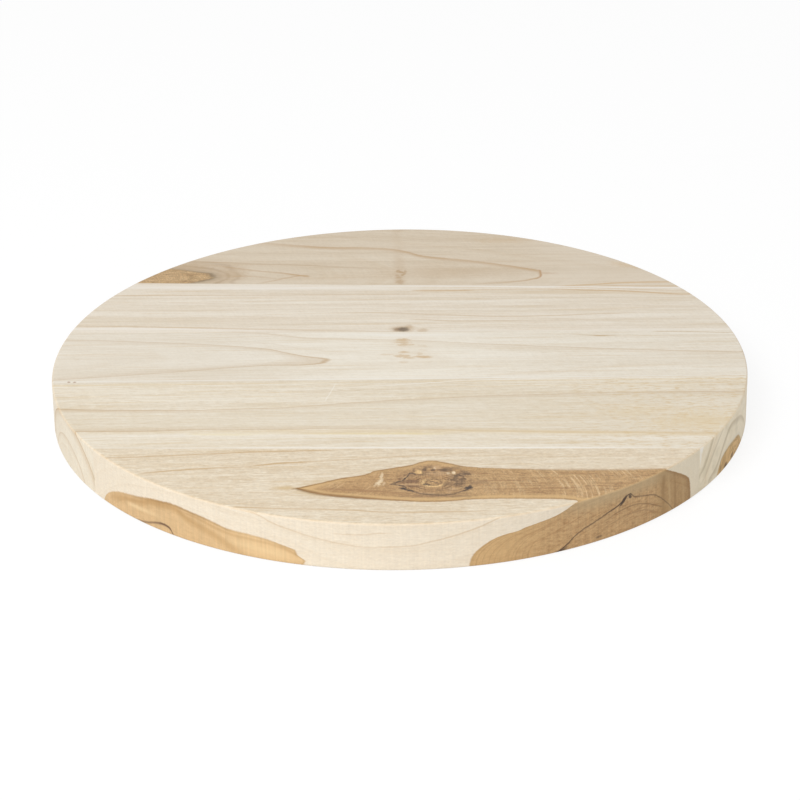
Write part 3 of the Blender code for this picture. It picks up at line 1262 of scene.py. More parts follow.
@dataclass(frozen=True)
class FrontInnerStave(Stave):
    """The fourth plank: pale and yellowish, sawn near the pith, with a tan core at its right end.

    The core's outline on the rim is read as its height over the bearing.
    """

    name: str = "front_inner_stave"
    log: Log = Log(
        pith_across=((-225, -79.5), (-112, -82.5), (0, -78.2), (67, -78.2), (225, -82.5)),
        pith_height=((-225, -10.8), (-112, -11.7), (0, -8.8), (67, -5.5), (225, -1.8)),
        warp=0.9)
    rear: Joint | None = FRONT_INNER_JOINT
    front: Joint | None = FRONT_JOINT
    seed: float = 37.3
    sapwood: Sapwood = Sapwood(ground=Colour(229, 218, 198), thread=Colour(216, 190, 142), ring_width=8)
    ring_lines: tuple[RingLine, ...] = (
        RingLine(45, ((-225, 0.95), (-150, 0.75), (-100, 0.55), (0, 0.5), (225, 0.65))),
        RingLine(30, ((-225, 0.4), (150, 0.45), (200, 0.2), (225, 0.1)), shade=3),
    )
    drawings: tuple[Drawing, ...] = (
        Drawing(Colour(222, 198, 152), (
            Mark(((-200, -100, 0.1), (0, -101, 0.35), (120, -106, 0.45), (200, -110, 0.4)), past=3,
                 short=6),
            Mark(((-40, -38.5, 0), (60, -38, 0.25), (220, -36, 0.3)), past=1, short=2),
            Mark(((-225, -30.6, 0.4), (0, -30.4, 0.3), (225, -31.6, 0.5)), past=1.2, short=1.4, wander=0.3),
            Spot((188, -92), 26, 13, 0.44, softness=0.9, raggedness=2.2),
            Spot((150, -78), 22, 8, 0.24, softness=0.9, raggedness=2),
        )),
        Drawing(Colour(228, 208, 148), (
            Mark(((-134, -103.2, 0), (-118, -103.4, 0.45), (-104, -103.8, 0.45), (-74, -104.2, 0.1),
                  (-44, -104.4, 0.35), (0, -105, 0.5), (34, -106.8, 0)), past=2.4, short=3, wander=1.2,
                 fray=1),
        )),
        Drawing(Colour(246, 242, 234), (
            Mark(((-225, -119.7, 0.2), (-130, -121.8, 0.2), (-90, -122.8, 0.6), (0, -125, 0.8),
                  (120, -127.8, 0.6), (160, -128.8, 0.2), (225, -130.3, 0.2)), past=1.4, short=1.9,
                 wander=0.1),
            Mark(((-225, -104.5, 0.2), (-130, -104, 0.25), (60, -112, 0.12), (225, -118, 0.15)), past=4,
                 short=5),
            Mark(((-30, -36.4, 0), (0, -34.3, 0.45), (24, -31.6, 0.5), (48, -28.9, 0.5), (110, -27.8, 0.45),
                  (222, -28.4, 0.4)), past=1.2, short=1.5, wander=0.2),
            Spot((325.2, 31.4), 2.2, 4.6, 0.75, softness=0.3, raggedness=0.3, chart=Chart.ROUND_RIM),
            Spot((324.9, 28), 1, 9, 0.6, softness=0.4, raggedness=0.2, chart=Chart.ROUND_RIM),
            Mark(((-58, -47.5, 0), (-54, -46.5, 0.45), (-38, -42.5, 0.45), (-31, -41, 0)), past=0.7,
                 short=0.7, chart=Chart.ACROSS_TOP),
        )),
        Drawing(Colour(178, 160, 128), (
            Mark(((327.6, 2.6, 0), (328.2, 3.9, 0.45), (330.3, 7.7, 0.55), (332.9, 17, 0.55),
                  (334.6, 22.4, 0.55), (336.4, 26, 0.55), (340, 24.6, 0.5), (346.6, 12, 0.45), (348, 6, 0)),
                 past=1.8, short=4.6, wander=0.4, chart=Chart.ROUND_RIM),
            Mark(((8, 323.9, 0), (11.7, 324.9, 0.4), (14.6, 326, 0.55), (23.1, 327.8, 0.6),
                  (29.4, 328.9, 0.5), (31, 329.2, 0.3)), past=2.6, short=5, wander=0.4, chart=Chart.UP_RIM),
            Mark(((4, 325.2, 0), (9, 326.8, 0.3), (18, 329, 0.4), (26, 331.4, 0.4), (31, 333.4, 0.2)),
                 past=2, short=4, wander=0.4, chart=Chart.UP_RIM),
        )),
    )
    inner_rings: Wash = Wash(Colour(214, 201, 178), 0.22)
    inner_step: Place = (45.4, 43.5)
    short_streaks: Wash = Wash(Colour(212, 182, 130), 0.55)
    streaks_step: Place = (60, 170)
    right_step: Place = (0, 60)
    right_rim: Wash = Wash(Colour(240, 226, 196), 0.5)
    right_lift: float = 0.03
    right_grey: Wash = Wash(Colour(206, 194, 166), 0.45)
    core_wood: Colour = Colour(214, 176, 116)
    core_streak: Colour = Colour(176, 138, 84)
    core_edge: Wash = Wash(Colour(172, 146, 102), 0.55)
    core_halo: Wash = Wash(Colour(222, 212, 190), 0.7)
    core_ragged: float = 0.6
    core_tooling: float = 0.24
    core_strength: float = 0.95
    core: tuple[Place, ...] = ((-225, 11), (225, 13))
    core_height: tuple[Place, ...] = (
        (330.4, -2), (331, 1.6), (331.9, 7), (333.5, 11.6), (335.8, 12.9), (338.5, 12.7), (341.2, 11.1),
        (343, 7), (344, 3), (344.8, -2))
    core_spots: Drawing = Drawing(Colour(106, 78, 46), (
        Spot((334.6, 1.6), 3, 2, 0.9, raggedness=0.8, chart=Chart.ROUND_RIM),
        Spot((337.9, 3.1), 2.4, 1.5, 0.75, raggedness=0.8, chart=Chart.ROUND_RIM),
        Spot((332.4, 3.6), 1.6, 2.2, 0.45, raggedness=0.8, chart=Chart.ROUND_RIM),
    ))

    def features(self, grain: Grain, tone: Tone) -> Tone:
        """The tan core round the pith, which shows low on the rim at both ends, and the greyer right rim.

        Args:
            grain: the stave's grain.
            tone: the pale wood's colour.

        Returns:
            The colour with the core.
        """
        space = grain.space
        curve = space.bench.curve
        tone = tone.washed(self.inner_rings, grain.reach.eased(*self.inner_step) * space.on_top)
        streaks = grain.dashes.eased(0.0, 0.40) * space.x.eased(*self.streaks_step) * space.on_top
        tone = tone.washed(self.short_streaks, streaks)
        right = space.on_rim * space.x.eased(*self.right_step)
        tone = tone.washed(self.right_rim, right).scaled(1.0 + right * self.right_lift)
        tone = tone.washed(self.right_grey, right * space.wobble.eased(-0.1, 0.4))
        left_core = (grain.reach - curve(space.x, self.core)).eased(0.8, -0.8) * (1.0 - right)
        over = space.z - curve(space.bearing, self.core_height) + space.ragged * self.core_ragged
        tone = tone.washed(self.core_halo, right * over.eased(3.4, 0.6))
        right_core = over.eased(0.7, -0.7) * right
        wood = space.bench.flat(self.core_wood)
        wood = wood.toward(self.core_streak, grain.streaks.eased(-0.1, 0.3))
        wood = wood.washed(self.core_edge, over.eased(-2.6, -0.2))
        wood = wood.scaled(1.0 + grain.tooling * self.core_tooling)
        tone = tone.toward(wood, left_core.most(right_core) * self.core_strength)
        return self.core_spots.over(space, tone)


@dataclass(frozen=True)
class KnotEye:
    """The knot's small twisted eye: dark turns in golden wood, lit at its front left and shaded behind.

    A band is a middle and half a width, in millimetres outside the eye's edge, or for the core from its
    middle.
    """

    radius: float = 6.6
    wood: Colour = Colour(200, 162, 114)
    # the painted light on the eye's front left edge
    painted_light: Colour = Colour(232, 196, 140)
    painted_light_band: Place = (0.3, 1.8)
    painted_light_step: Place = (-6.0, 3.0)
    line: Colour = Colour(80, 60, 48)
    line_band: Place = (-2.0, 1.5)
    core_band: Place = (1.9, 1.0)
    core_share: float = 0.7
    line_strength: float = 0.48
    line_change: float = 0.5
    # the painted shade behind the eye
    shade: Wash = Wash(Colour(96, 76, 62), 0.6)
    shade_band: Place = (-0.2, 1.2)
    shade_step: Place = (1.0, 5.0)
    edge_step: Place = (1.8, 0.2)
    strength: float = 0.90

    def band(self, far: Field, band: Place) -> Field:
        """1 along a band round the eye's edge, and 0 past it."""
        return far.near(self.radius + band[0], band[1])

    def over(self, space: WoodSpace, tone: Tone, right: Field, back: Field, far: Field,
             broken: Field) -> Tone:
        """Draw it.

        Args:
            space: the wood's coordinates.
            tone: the knot's colour.
            right: millimetres to the right of the knot's middle.
            back: millimetres behind it.
            far: millimetres from it.
            broken: where the knot's lines are whole, 1, and where they are broken, 0.

        Returns:
            The colour with the eye.
        """
        # painted light: the eye's edge is lightened at its front left, as if lit
        painted_light = self.band(far, self.painted_light_band) * (0.0 - right - back).eased(*self.painted_light_step)
        eye = space.bench.flat(self.wood).toward(self.painted_light, painted_light)
        turns = self.band(far, self.line_band).most(far.near(*self.core_band) * self.core_share)
        eye = eye.toward(self.line, turns * (broken * self.line_change + self.line_strength))
        # painted shade: the eye's edge is darkened behind it
        eye = eye.washed(self.shade, self.band(far, self.shade_band) * back.eased(*self.shade_step))
        inside = far.eased(*(self.radius + step for step in self.edge_step))
        return tone.toward(eye, inside * space.on_top * self.strength)


@dataclass(frozen=True)
class Knot:
    """The knot: broken rings round a small twisted eye, held between two dark cracks."""

    middle: Place = (19.7, -171.9)
    radius: float = 22.0
    raggedness: float = 1.8
    wander: float = 6.0
    edge_step: Place = (5.0, -7.0)
    eye: KnotEye = KnotEye()
    ground: Wash = Wash(Colour(164, 127, 88), 0.45)
    ring_dark: Wash = Wash(Colour(112, 82, 58), 0.72)
    ring_light: Wash = Wash(Colour(208, 176, 132), 0.50)
    ring_contrast: float = 0.9
    breaks_round: float = 1.9
    breaks_outward: float = 3.6
    hatch_raggedness: float = 0.6
    hatch_depth: float = 0.36
    ring_step: float = 2.7
    flatness: float = 1.25
    bend: float = 0.55
    bend_reach: float = 24.0
    haze: Drawing = Drawing(Colour(118, 96, 74), (
        Spot((34.8, -170), 5.4, 6.6, 0.7, softness=0.8, raggedness=1.8),
        Spot((29.6, -173.8), 4.6, 3, 0.6, softness=0.8, raggedness=1.8),
        Spot((38.2, -161.4), 3.6, 2.8, 0.7, softness=0.7, raggedness=2),
        Spot((27.6, -155.5), 4.4, 2.4, 0.72, softness=0.6, raggedness=1.6),
        Spot((34.4, -152.6), 2.6, 2.2, 0.45, softness=0.7, raggedness=1.8),
        Spot((12.6, -157.6), 2.6, 2.6, 0.6, softness=0.7, raggedness=1.8),
        Spot((20, -188.6), 15, 2.2, 0.4, softness=0.8, raggedness=1.6),
        Spot((34, -190.4), 9, 1.6, 0.45, softness=0.8, raggedness=1.6),
        Spot((46, -172), 6, 3, 0.35, softness=0.8, raggedness=1.8),
        Spot((24, -181.4), 8, 1.6, 0.35, softness=0.8, raggedness=1.8),
        Spot((4.6, -161), 3.2, 3, 0.35, softness=0.8, raggedness=1.8),
    ))
    wedge: Drawing = Drawing(Colour(114, 86, 66), (
        Spot((7.2, -170.2), 4.8, 2.2, 0.8, softness=0.5, raggedness=1.4),
        Spot((8.2, -176.9), 4.2, 1.4, 0.7, softness=0.5, raggedness=1.2),
        Spot((1.6, -171.6), 2.8, 1.8, 0.45, softness=0.6, raggedness=1.4),
        Spot((-0.4, -166.8), 1.6, 1.4, 0.45, softness=0.6, raggedness=1.2),
    ))
    # pale spots and lines; one line is a painted highlight on the lip of the lower crack
    pale: Drawing = Drawing(Colour(204, 170, 132), (
        Mark(((-3, -174, 0), (1, -174.3, 0.6), (8, -174.3, 0.65), (12.5, -174.2, 0)), past=1.1, short=1.1,
             wander=0.3),
        # painted highlight: the lit lip just above the lower crack
        Mark(((8, -184.2, 0), (12, -185.2, 0.55), (17, -186, 0.55), (21, -186.6, 0)), past=0.9, short=0.9,
             wander=0.3),
        Spot((21.8, -152.6), 2.6, 2.2, 0.55, raggedness=1.6),
        Spot((23.6, -160.6), 6, 2.2, 0.4, softness=0.7, raggedness=1.6),
        Spot((31.4, -181), 2.6, 1.4, 0.5, raggedness=1.6),
        Spot((28.6, -184.6), 1.4, 1.8, 0.35, raggedness=1.6),
    ))
    flecks: Drawing = Drawing(Colour(232, 210, 174), (
        Spot((-11.8, -163.8), 4.6, 0.9, 0.7, tilt=82, softness=0.5, raggedness=1.2),
        Spot((-12.6, -169.6), 4.6, 1.5, 0.9, tilt=78, softness=0.5, raggedness=1.5),
        Spot((-15, -173.4), 3.4, 0.9, 0.6, tilt=70, softness=0.6, raggedness=1.4),
        Spot((-10.4, -173), 2.2, 0.7, 0.4, tilt=80, softness=0.6, raggedness=1.4),
        Spot((28.6, -159.9), 1.1, 1.2, 0.65, softness=0.5, raggedness=0.8),
        Spot((31.9, -159.4), 1.2, 1.8, 0.95, softness=0.4),
        Spot((20.6, -153), 0.7, 1.4, 0.5, raggedness=0.8),
    ))
    bud: Drawing = Drawing(Colour(226, 188, 132), (
        Spot((10.9, -158.3), 2.1, 2.7, 0.95, softness=0.35, raggedness=0.6),
    ))
    dark_spots: Drawing = Drawing(Colour(88, 68, 54), (
        Spot((11.6, -161.6), 3.4, 1, 0.55, raggedness=0.9),
        Spot((14.6, -153.4), 1.6, 3, 0.75, tilt=-22, softness=0.6, raggedness=1.6),
        Spot((17, -151.4), 2, 1.6, 0.45, softness=0.6, raggedness=1.6),
        Spot((19.5, -155.9), 1.3, 1.6, 0.72, softness=0.6, raggedness=1.4),
        Spot((25.4, -155.6), 3.4, 1.2, 0.5, softness=0.6, raggedness=1.4),
        Spot((34.6, -163), 2.2, 1.6, 0.75, softness=0.6, raggedness=1.6),
        Spot((40, -161.6), 2.2, 1.3, 0.6, softness=0.6, raggedness=1.4),
        Spot((37.6, -157.6), 2, 1.2, 0.45, softness=0.6, raggedness=1.4),
        Spot((7.9, -156), 0.9, 1.8, 0.55, softness=0.6, raggedness=1.2),
        Spot((35.8, -168), 3, 1.6, 0.55, softness=0.6, raggedness=1.8),
        Spot((31.2, -169.6), 2, 1.8, 0.5, softness=0.6, raggedness=1.8),
        Spot((34.2, -174.2), 2.6, 1.4, 0.4, softness=0.6, raggedness=1.8),
    ))
    cracks: Drawing = Drawing(Colour(60, 52, 50), (
        Mark(((-7.2, -173.7, 0), (-5.4, -173.2, 0.9), (-1, -170.6, 0.8), (1, -168.8, 0.9), (2.4, -166.4, 1),
              (4.4, -162.4, 0.9), (6.2, -159.6, 0.9), (8.2, -160.6, 0.85), (9.4, -162, 0)), past=1.7,
             short=1.7, wander=0.5, fray=2.4),
        Mark(((-5.8, -173.4, 0), (-4.4, -174, 0.8), (-0.4, -175.6, 0.8), (2.6, -177.4, 0.9),
              (3.6, -178.6, 0)), past=1.3, short=1.3, wander=0.4, fray=1.2),
        Mark(((-0.6, -178.4, 0), (0.8, -179.2, 1), (2.6, -180.8, 1), (6.4, -182.7, 0.9),
              (10.5, -185.6, 0.7), (14.5, -187, 0.6), (22.5, -188.7, 0.45), (28.6, -188, 0.5),
              (34.6, -184.9, 0.65), (37.8, -182.6, 0.85), (40.2, -181, 1), (42.8, -177, 0)), past=1.5,
             short=1.6, wander=0.5, fray=1.5),
        Spot((1, -179.3), 2.6, 1.5, 0.9, tilt=-12, softness=0.5, raggedness=1),
        Spot((40.6, -179.4), 2.4, 1.9, 0.95, tilt=20, softness=0.5, raggedness=1.3),
        Spot((41.4, -176.8), 0.9, 1.6, 0.75, softness=0.5, raggedness=1.2),
        Mark(((16.6, -169.8, 0), (18.4, -170.6, 0.75), (21.8, -173, 0.75), (23.2, -173.8, 0)), past=0.9,
             short=0.9, wander=0, fray=0.8),
        Spot((14.8, -174.4), 1.5, 1.4, 0.75, softness=0.4, raggedness=0.8),
        Spot((16.8, -175.2), 1.3, 1.1, 0.65, softness=0.4, raggedness=0.8),
    ))

    def bent(self, space: WoodSpace) -> Field:
        """Y, bent so that fibres along it part round the knot.

        Args:
            space: the wood's coordinates.

        Returns:
            The bent Y in millimetres.
        """
        bench = space.bench
        right = space.x - self.middle[0]
        back = space.y - self.middle[1]
        near = (right * right + back * back) / -(self.bend_reach ** 2)
        return space.y - back * bench.math("EXPONENT", near) * self.bend

    def over(self, grain: Grain, tone: Tone) -> Tone:
        """Draw the knot.

        Args:
            grain: the stave's grain.
            tone: the heartwood's colour.

        Returns:
            The colour with the knot.
        """
        space = grain.space
        bench = space.bench
        right = space.x - self.middle[0]
        back = (space.y - self.middle[1]) * self.flatness
        turn = bench.math("ARCTAN2", back, right)
        far = bench.math("SQRT", right * right + back * back) + space.ragged * self.raggedness
        uneven = far + space.wobble * self.wander
        inside = uneven.eased(*(self.radius + step for step in self.edge_step)) * space.on_top
        wave = bench.math("SINE", (far + turn * (self.ring_step / math.tau)) * (math.tau / self.ring_step))
        broken = bench.noise(turn * self.breaks_round, far / self.breaks_outward, 0.0).eased(-0.15, 0.30)
        tone = tone.washed(self.ground, inside)
        tone = tone.washed(self.ring_dark, wave.eased(0.0, self.ring_contrast) * broken * inside)
        tone = tone.washed(self.ring_light, wave.eased(0.0, -self.ring_contrast) * broken * inside)
        # the eye, with its painted light at the front left and painted shade behind
        tone = self.eye.over(space, tone, right, back, far, broken)
        for drawing in (self.haze, self.wedge, self.pale, self.flecks, self.bud, self.dark_spots,
                        self.cracks):
            tone = drawing.over(space, tone)
        hatch = space.noise(HATCH_CELL, detail=1.0) + space.ragged * self.hatch_raggedness
        return tone.scaled(1.0 + inside * hatch * self.hatch_depth)


@dataclass(frozen=True)
class FrontStave(Stave):
    """The front plank: pale sapwood round a golden brown heartwood, with a knot.

    The heartwood's outline is read over X on the top face, where it is a flame, and over the height or the
    bearing on the rim, where it is a lens and a body. A step is where a wash sets in and where it is full,
    in X for the flame and in degrees of bearing for the rim. A band is a middle and half a width, in
    millimetres outside the outline.
    """

    name: str = "front_stave"
    log: Log = Log(
        pith_across=((-225, -172), (0, -176), (225, -176)),
        pith_height=((-225, -40), (-135, -33), (-63, -24), (0, -22), (225, -18)))
    rear: Joint | None = FRONT_JOINT
    seed: float = 51.5
    sapwood: Sapwood = Sapwood(
        ground=Colour(224, 209, 185), shade=Colour(206, 185, 154), glow=Colour(240, 230, 210), ring_width=9,
        cloud_depth=0.3, band_depth=0.4, streak_depth=0.28, thread_depth=0.38, dash_depth=0.6,
        fine_depth=0.12)
    knot: Knot = Knot()
    heartwood: Heartwood = Heartwood()
    outline_wander: float = 0.6
    outline_fray: float = 0.6
    under_forward: float = 176.0
    under_half: float = 43.0
    rim_lift: float = 0.015
    rim_pallor: Wash = Wash(Colour(239, 232, 220), 0.26)
    right_rim: Wash = Wash(Colour(226, 214, 184), 0.4)
    right_rim_step: Place = (306, 318)
    other_blur: float = 0.8
    other_edge: Colour = Colour(150, 112, 62)
    other_edge_band: Place = (-0.5, 1.5)
    front_edge: Colour = Colour(136, 100, 58)
    front_inset: float = 0.7
    line_change: float = 0.45
    flame_ground: Wash = Wash(Colour(168, 128, 84), 0.12)
    flame_dimming: float = 0.03
    flame_left: Wash = Wash(Colour(176, 130, 76), 0.16)
    flame_left_step: Place = (10, -20)
    golden: Colour = Colour(216, 180, 128)
    rear_gold: tuple[Place, ...] = (
        (-63, 0.7), (-30, 0.45), (-10, 0.15), (12, 0.55), (34, 0.45), (50, 0.1), (160, 0.1))
    rear_gold_band: Place = (-2.6, 3.4)
    front_gold: float = 0.75
    front_gold_band: Place = (-3.2, 3.6)
    tip_gold: float = 0.60
    tip_step: Place = (-42, -60)
    lens_step: Place = (266, 256)
    lens_ground: Wash = Wash(Colour(220, 188, 142), 0.66)
    lens_right: Wash = Wash(Colour(230, 198, 150), 0.50)
    lens_right_step: Place = (236, 250)
    lens_tooling: float = 0.10
    body_step: Place = (268, 276)
    body_left: Wash = Wash(Colour(206, 171, 121), 0.60)
    body_left_step: Place = (297, 284)
    body_streaks: Wash = Wash(Colour(164, 128, 84), 0.40)
    body_streaks_step: Place = (298, 290)
    outline_cell: Place = (1.6, 60)
    body_top: Wash = Wash(Colour(184, 162, 126), 0.65)
    body_top_rise: Place = (19, 29)
    body_top_step: Place = (292, 300)
    body_right: Wash = Wash(Colour(166, 134, 90), 0.55)
    body_right_step: Place = (312, 315)
    body_edge: Wash = Wash(Colour(150, 116, 78), 0.5)
    body_edge_band: Place = (-1.6, 2.6)
    body_edge_step: Place = (312, 318)
    flame_tip: float = -63.5
    flame_rear: tuple[Place, ...] = (
        (-63.5, -177.5), (-48.2, -171), (-36.8, -165.6), (-24.8, -162), (-18.8, -158.9), (-16.6, -156.5),
        (-6.6, -152.8), (6.4, -148.5), (12.9, -144.6), (18.5, -143.1), (24.5, -144.8), (30.6, -147.2),
        (36.6, -150.3), (42.6, -152), (60, -154.4), (120.5, -157.6), (162, -157))
    flame_front: tuple[Place, ...] = (
        (-63.5, -177.5), (-55.3, -182.7), (-44, -187.4), (-32.9, -190.1), (-10.5, -193.9), (2.4, -195.7),
        (14.5, -197), (26.5, -197), (38.6, -195), (48, -194.4), (70.6, -194.4), (97, -196), (105, -199.4))
    lens_height: tuple[Place, ...] = (
        (214, -6), (215.6, 0.8), (216.4, 5.4), (218.5, 10.8), (222.4, 15.2), (225.9, 17.8), (229.1, 20.2),
        (232.1, 21.6), (233.8, 21.5), (236, 20.6), (238.7, 19), (241, 17.2), (242.8, 15.8), (245.2, 15.4),
        (247.6, 14.9), (249.9, 13.7), (252.2, 11.7), (254, 9.5))
    lens_end: tuple[Place, ...] = ((0, 254.9), (3.3, 255.3), (6.5, 254.1), (10.1, 253.7), (13.6, 250.2))
    body_start: tuple[Place, ...] = (
        (0, 280.2), (5.6, 280.5), (9.7, 281.2), (14.1, 282.6), (17.1, 284.1), (19.2, 286.2), (19.9, 287.8),
        (21.3, 288.9), (23, 291.2), (24.7, 293.5), (27.4, 295.6), (29.5, 296.7), (31, 297.6))
    body_end: tuple[Place, ...] = (
        (0, 322.1), (5.3, 322), (11.4, 321.8), (15.9, 321.5), (19, 320.5), (22.5, 319.1), (26.6, 317.3),
        (30, 315.7), (31, 315.3))
    rear_line: tuple[Place, ...] = ((-63, 0.95), (-20, 0.75), (20, 0.6), (60, 0.3), (160, 0.15))
    front_line: tuple[Place, ...] = ((-63, 1), (-22, 1), (-8, 0.75), (20, 0.6), (60, 0.35), (104, 0.4))
    front_reach: tuple[Place, ...] = ((-63, 3.6), (-24, 3.4), (-6, 2), (104, 1.5))
    rim_line: tuple[Place, ...] = (
        (214, 0.1), (222, 0.25), (232, 0.6), (240, 0.6), (246, 0.3), (254, 0.4), (280, 0.2), (290, 0.35),
        (300, 0.25), (312, 0.4), (318, 0.75), (322, 0.7))
    rear_blur: tuple[Place, ...] = ((-63, 0.8), (50, 0.9), (85, 2.4), (130, 3), (162, 2))
    pale_lines: Drawing = Drawing(Colour(194, 160, 112), (
        Mark(((-190, -135, 0.45), (-153, -132.6, 0.65), (-126, -131, 0.55), (-90, -128.2, 0.75),
              (-56, -127.4, 0.75), (-40, -127.2, 0)), past=1, short=1.8, wander=0.4),
        Mark(((-160, -156, 0), (-152, -154.7, 0.55), (-134, -151.8, 0.8), (-118, -149.8, 0.7),
              (-95, -148, 0.3), (-85, -146.2, 0.8), (-73, -143.9, 0.85), (-61, -142.9, 0.7),
              (-40, -141, 0.35), (0, -137, 0.4), (40, -133, 0)), past=1.2, short=1.8, wander=0.6),
        Mark(((-100, -200.6, 0), (-94, -201.2, 0.75), (-72, -203.3, 0.6), (-48, -204.9, 0.55),
              (-24, -207.4, 0.6), (-7, -209.7, 0.5), (11, -209.9, 0.65), (34, -209.9, 0.45), (60, -208, 0)),
             past=1.1, short=1.5, wander=0.4),
        Mark(((243, 31, 0), (245.4, 31, 0.35), (250, 26.1, 0.35), (255.7, 20.7, 0.3), (261, 17, 0.3),
              (265.2, 15.4, 0.2), (268.2, 16, 0.35), (270.5, 16.2, 0.35), (274.5, 19.1, 0.4),
              (277.2, 21.1, 0.45), (280.3, 24.6, 0.45), (285, 31, 0.45)), past=0.6, short=1.1, wander=0.7,
             chart=Chart.ROUND_RIM),
        Mark(((259, 24, 0), (262, 23.6, 0.3), (266.8, 25, 0.3), (269, 25.2, 0)), past=0.6, short=0.8,
             wander=0.8, chart=Chart.ROUND_RIM),
    ))
    tip_halo: Drawing = Drawing(Colour(208, 182, 140), (
        Spot((-69, -177.2), 7, 2.4, 0.9, softness=0.9, raggedness=0.6),
        Spot((-54, -184.8), 10, 2.8, 0.6, tilt=-22, softness=0.9, raggedness=0.8),
        Spot((-54, -172), 10, 2.4, 0.4, tilt=24, softness=0.9, raggedness=0.8),
    ))
    brown_lines: Drawing = Drawing(Colour(154, 116, 78), (
        Mark(((-50, -178.4, 0), (-38, -180, 0.55), (-18, -182.5, 0.6), (-4, -185.4, 0.5),
              (10, -189.6, 0.35), (26, -190.5, 0.3), (44, -187, 0)), past=3.2, short=2.2, fray=1.2),
        Mark(((46, -171.4, 0), (54, -170.6, 0.6), (70, -169.6, 0.6), (84, -169.4, 0)), past=1.2, short=1.2,
             wander=1.2, fray=1),
        Mark(((44, -180, 0), (60, -181, 0.35), (90, -182, 0.35), (120, -182, 0)), past=1.4, short=1.4,
             wander=1.8, fray=1),
    ))
    lens_band: Drawing = Drawing(Colour(184, 146, 96), (
        Mark(((217, 6, 0), (219.5, 8.6, 0.6), (222.4, 11.6, 0.7), (225.9, 15, 0.8), (229.1, 18.4, 0.85),
              (232.4, 19.4, 0.8), (234.9, 15.8, 0.7), (237.6, 12.6, 0.6), (240.2, 9.4, 0.55),
              (243.9, 3.1, 0.4), (246, 0, 0.2)), past=3.6, short=5, wander=1.2, fray=1,
             chart=Chart.ROUND_RIM),
        Mark(((233, 19, 0), (237, 17.6, 0.5), (242, 13.4, 0.4), (250, 11.4, 0.35), (253, 8.6, 0.5),
              (254.2, 3, 0)), past=1.4, short=2.2, wander=0.4, chart=Chart.ROUND_RIM),
    ))
    lens_light: Drawing = Drawing(Colour(232, 204, 158), (
        Mark(((221.5, 8.6, 0), (224, 8.8, 0.6), (227, 9.4, 0.5), (231, 10, 0)), past=2.6, short=2.2,
             wander=0.8, chart=Chart.ROUND_RIM),
        Mark(((242, 9, 0), (246, 7.2, 0.4), (251, 6, 0.3), (253, 5, 0)), past=3.4, short=3, wander=1,
             chart=Chart.ROUND_RIM),
    ))
    body_bands: Drawing = Drawing(Colour(148, 115, 75), (
        Mark(((0, 315.4, 0.3), (10, 315, 0.45), (24, 314.9, 0.6), (28, 315.1, 0)), past=2.6, short=2.2,
             wander=0.4, chart=Chart.UP_RIM),
        Mark(((0, 318, 0.5), (12, 317.9, 0.55), (25, 317.6, 0.4), (28, 317.5, 0)), past=2, short=2,
             wander=0.4, chart=Chart.UP_RIM),
    ))
    body_arcs: Drawing = Drawing(Colour(126, 98, 68), (
        Mark(((301.5, 10.4, 0), (303.5, 13.6, 0.35), (305.7, 16, 0.6), (308.4, 16.6, 0.65),
              (310.5, 14.6, 0.65), (313.5, 9.2, 0.6), (315, 6, 0)), past=0.6, short=1, wander=0.4,
             chart=Chart.ROUND_RIM),
        Mark(((302, 6, 0), (304.5, 10, 0.3), (308, 11.6, 0.4), (312, 8, 0.35), (313.6, 4, 0)), past=0.6,
             short=1, chart=Chart.ROUND_RIM),
    ))
    body_light: Drawing = Drawing(Colour(196, 166, 122), (
        Mark(((0, 316.8, 0.5), (12, 316.5, 0.6), (25, 316.1, 0.3), (28, 316, 0)), past=1.8, short=1.8,
             wander=0.4, chart=Chart.UP_RIM),
        Mark(((0, 320.2, 0.45), (12, 320, 0.4), (21, 319.2, 0)), past=2, short=2.4, wander=0.4,
             chart=Chart.UP_RIM),
    ))
    hook: Drawing = Drawing(Colour(104, 76, 58), (
        Mark(((223.2, -0.8, 0), (224.4, 0.3, 0.5), (226.6, 1.9, 0.65), (228.9, 4.6, 0.75), (230.2, 5.5, 1),
              (231.3, 5, 1), (232.2, 1.6, 0.85), (232.7, -1, 0.45)), past=1.2, short=1.7, wander=0.2,
             chart=Chart.ROUND_RIM),
    ))
    veins: Drawing = Drawing(Colour(74, 58, 48), (
        Mark(((293.6, -1, 1), (294.8, 1.5, 1), (296.2, 5, 0.9), (297.6, 9.2, 0.75), (299.4, 12.4, 0.7),
              (301.5, 15.1, 0.7), (303.7, 18.2, 0.85), (305, 19.7, 1), (305.8, 21.3, 1), (306.9, 23.8, 1),
              (307.5, 25, 1), (308, 23.8, 0.9), (308.5, 22.1, 0.6), (310.4, 20.1, 0.55), (312.7, 17.5, 0.6),
              (313.7, 15.2, 0.55), (315.1, 10.4, 0.5), (317, 2.9, 0.5), (317.4, 0, 0.45)), past=0.8,
             short=1.1, wander=0.3, fray=0.6, chart=Chart.ROUND_RIM),
        Mark(((292.8, -1, 0), (294.4, 0.4, 1), (296.4, 3.2, 0)), past=1.6, short=2.4, wander=0.2,
             chart=Chart.ROUND_RIM),
        Spot((306.3, 22.2), 3.9, 1.1, 0.95, tilt=47, softness=0.35, raggedness=0.4, chart=Chart.ROUND_RIM),
        Spot((307.6, 23.3), 1.6, 1.1, 0.85, tilt=-60, softness=0.35, raggedness=0.4, chart=Chart.ROUND_RIM),
        Spot((301.7, 3.3), 2.2, 0.8, 0.6, chart=Chart.ROUND_RIM),
    ))

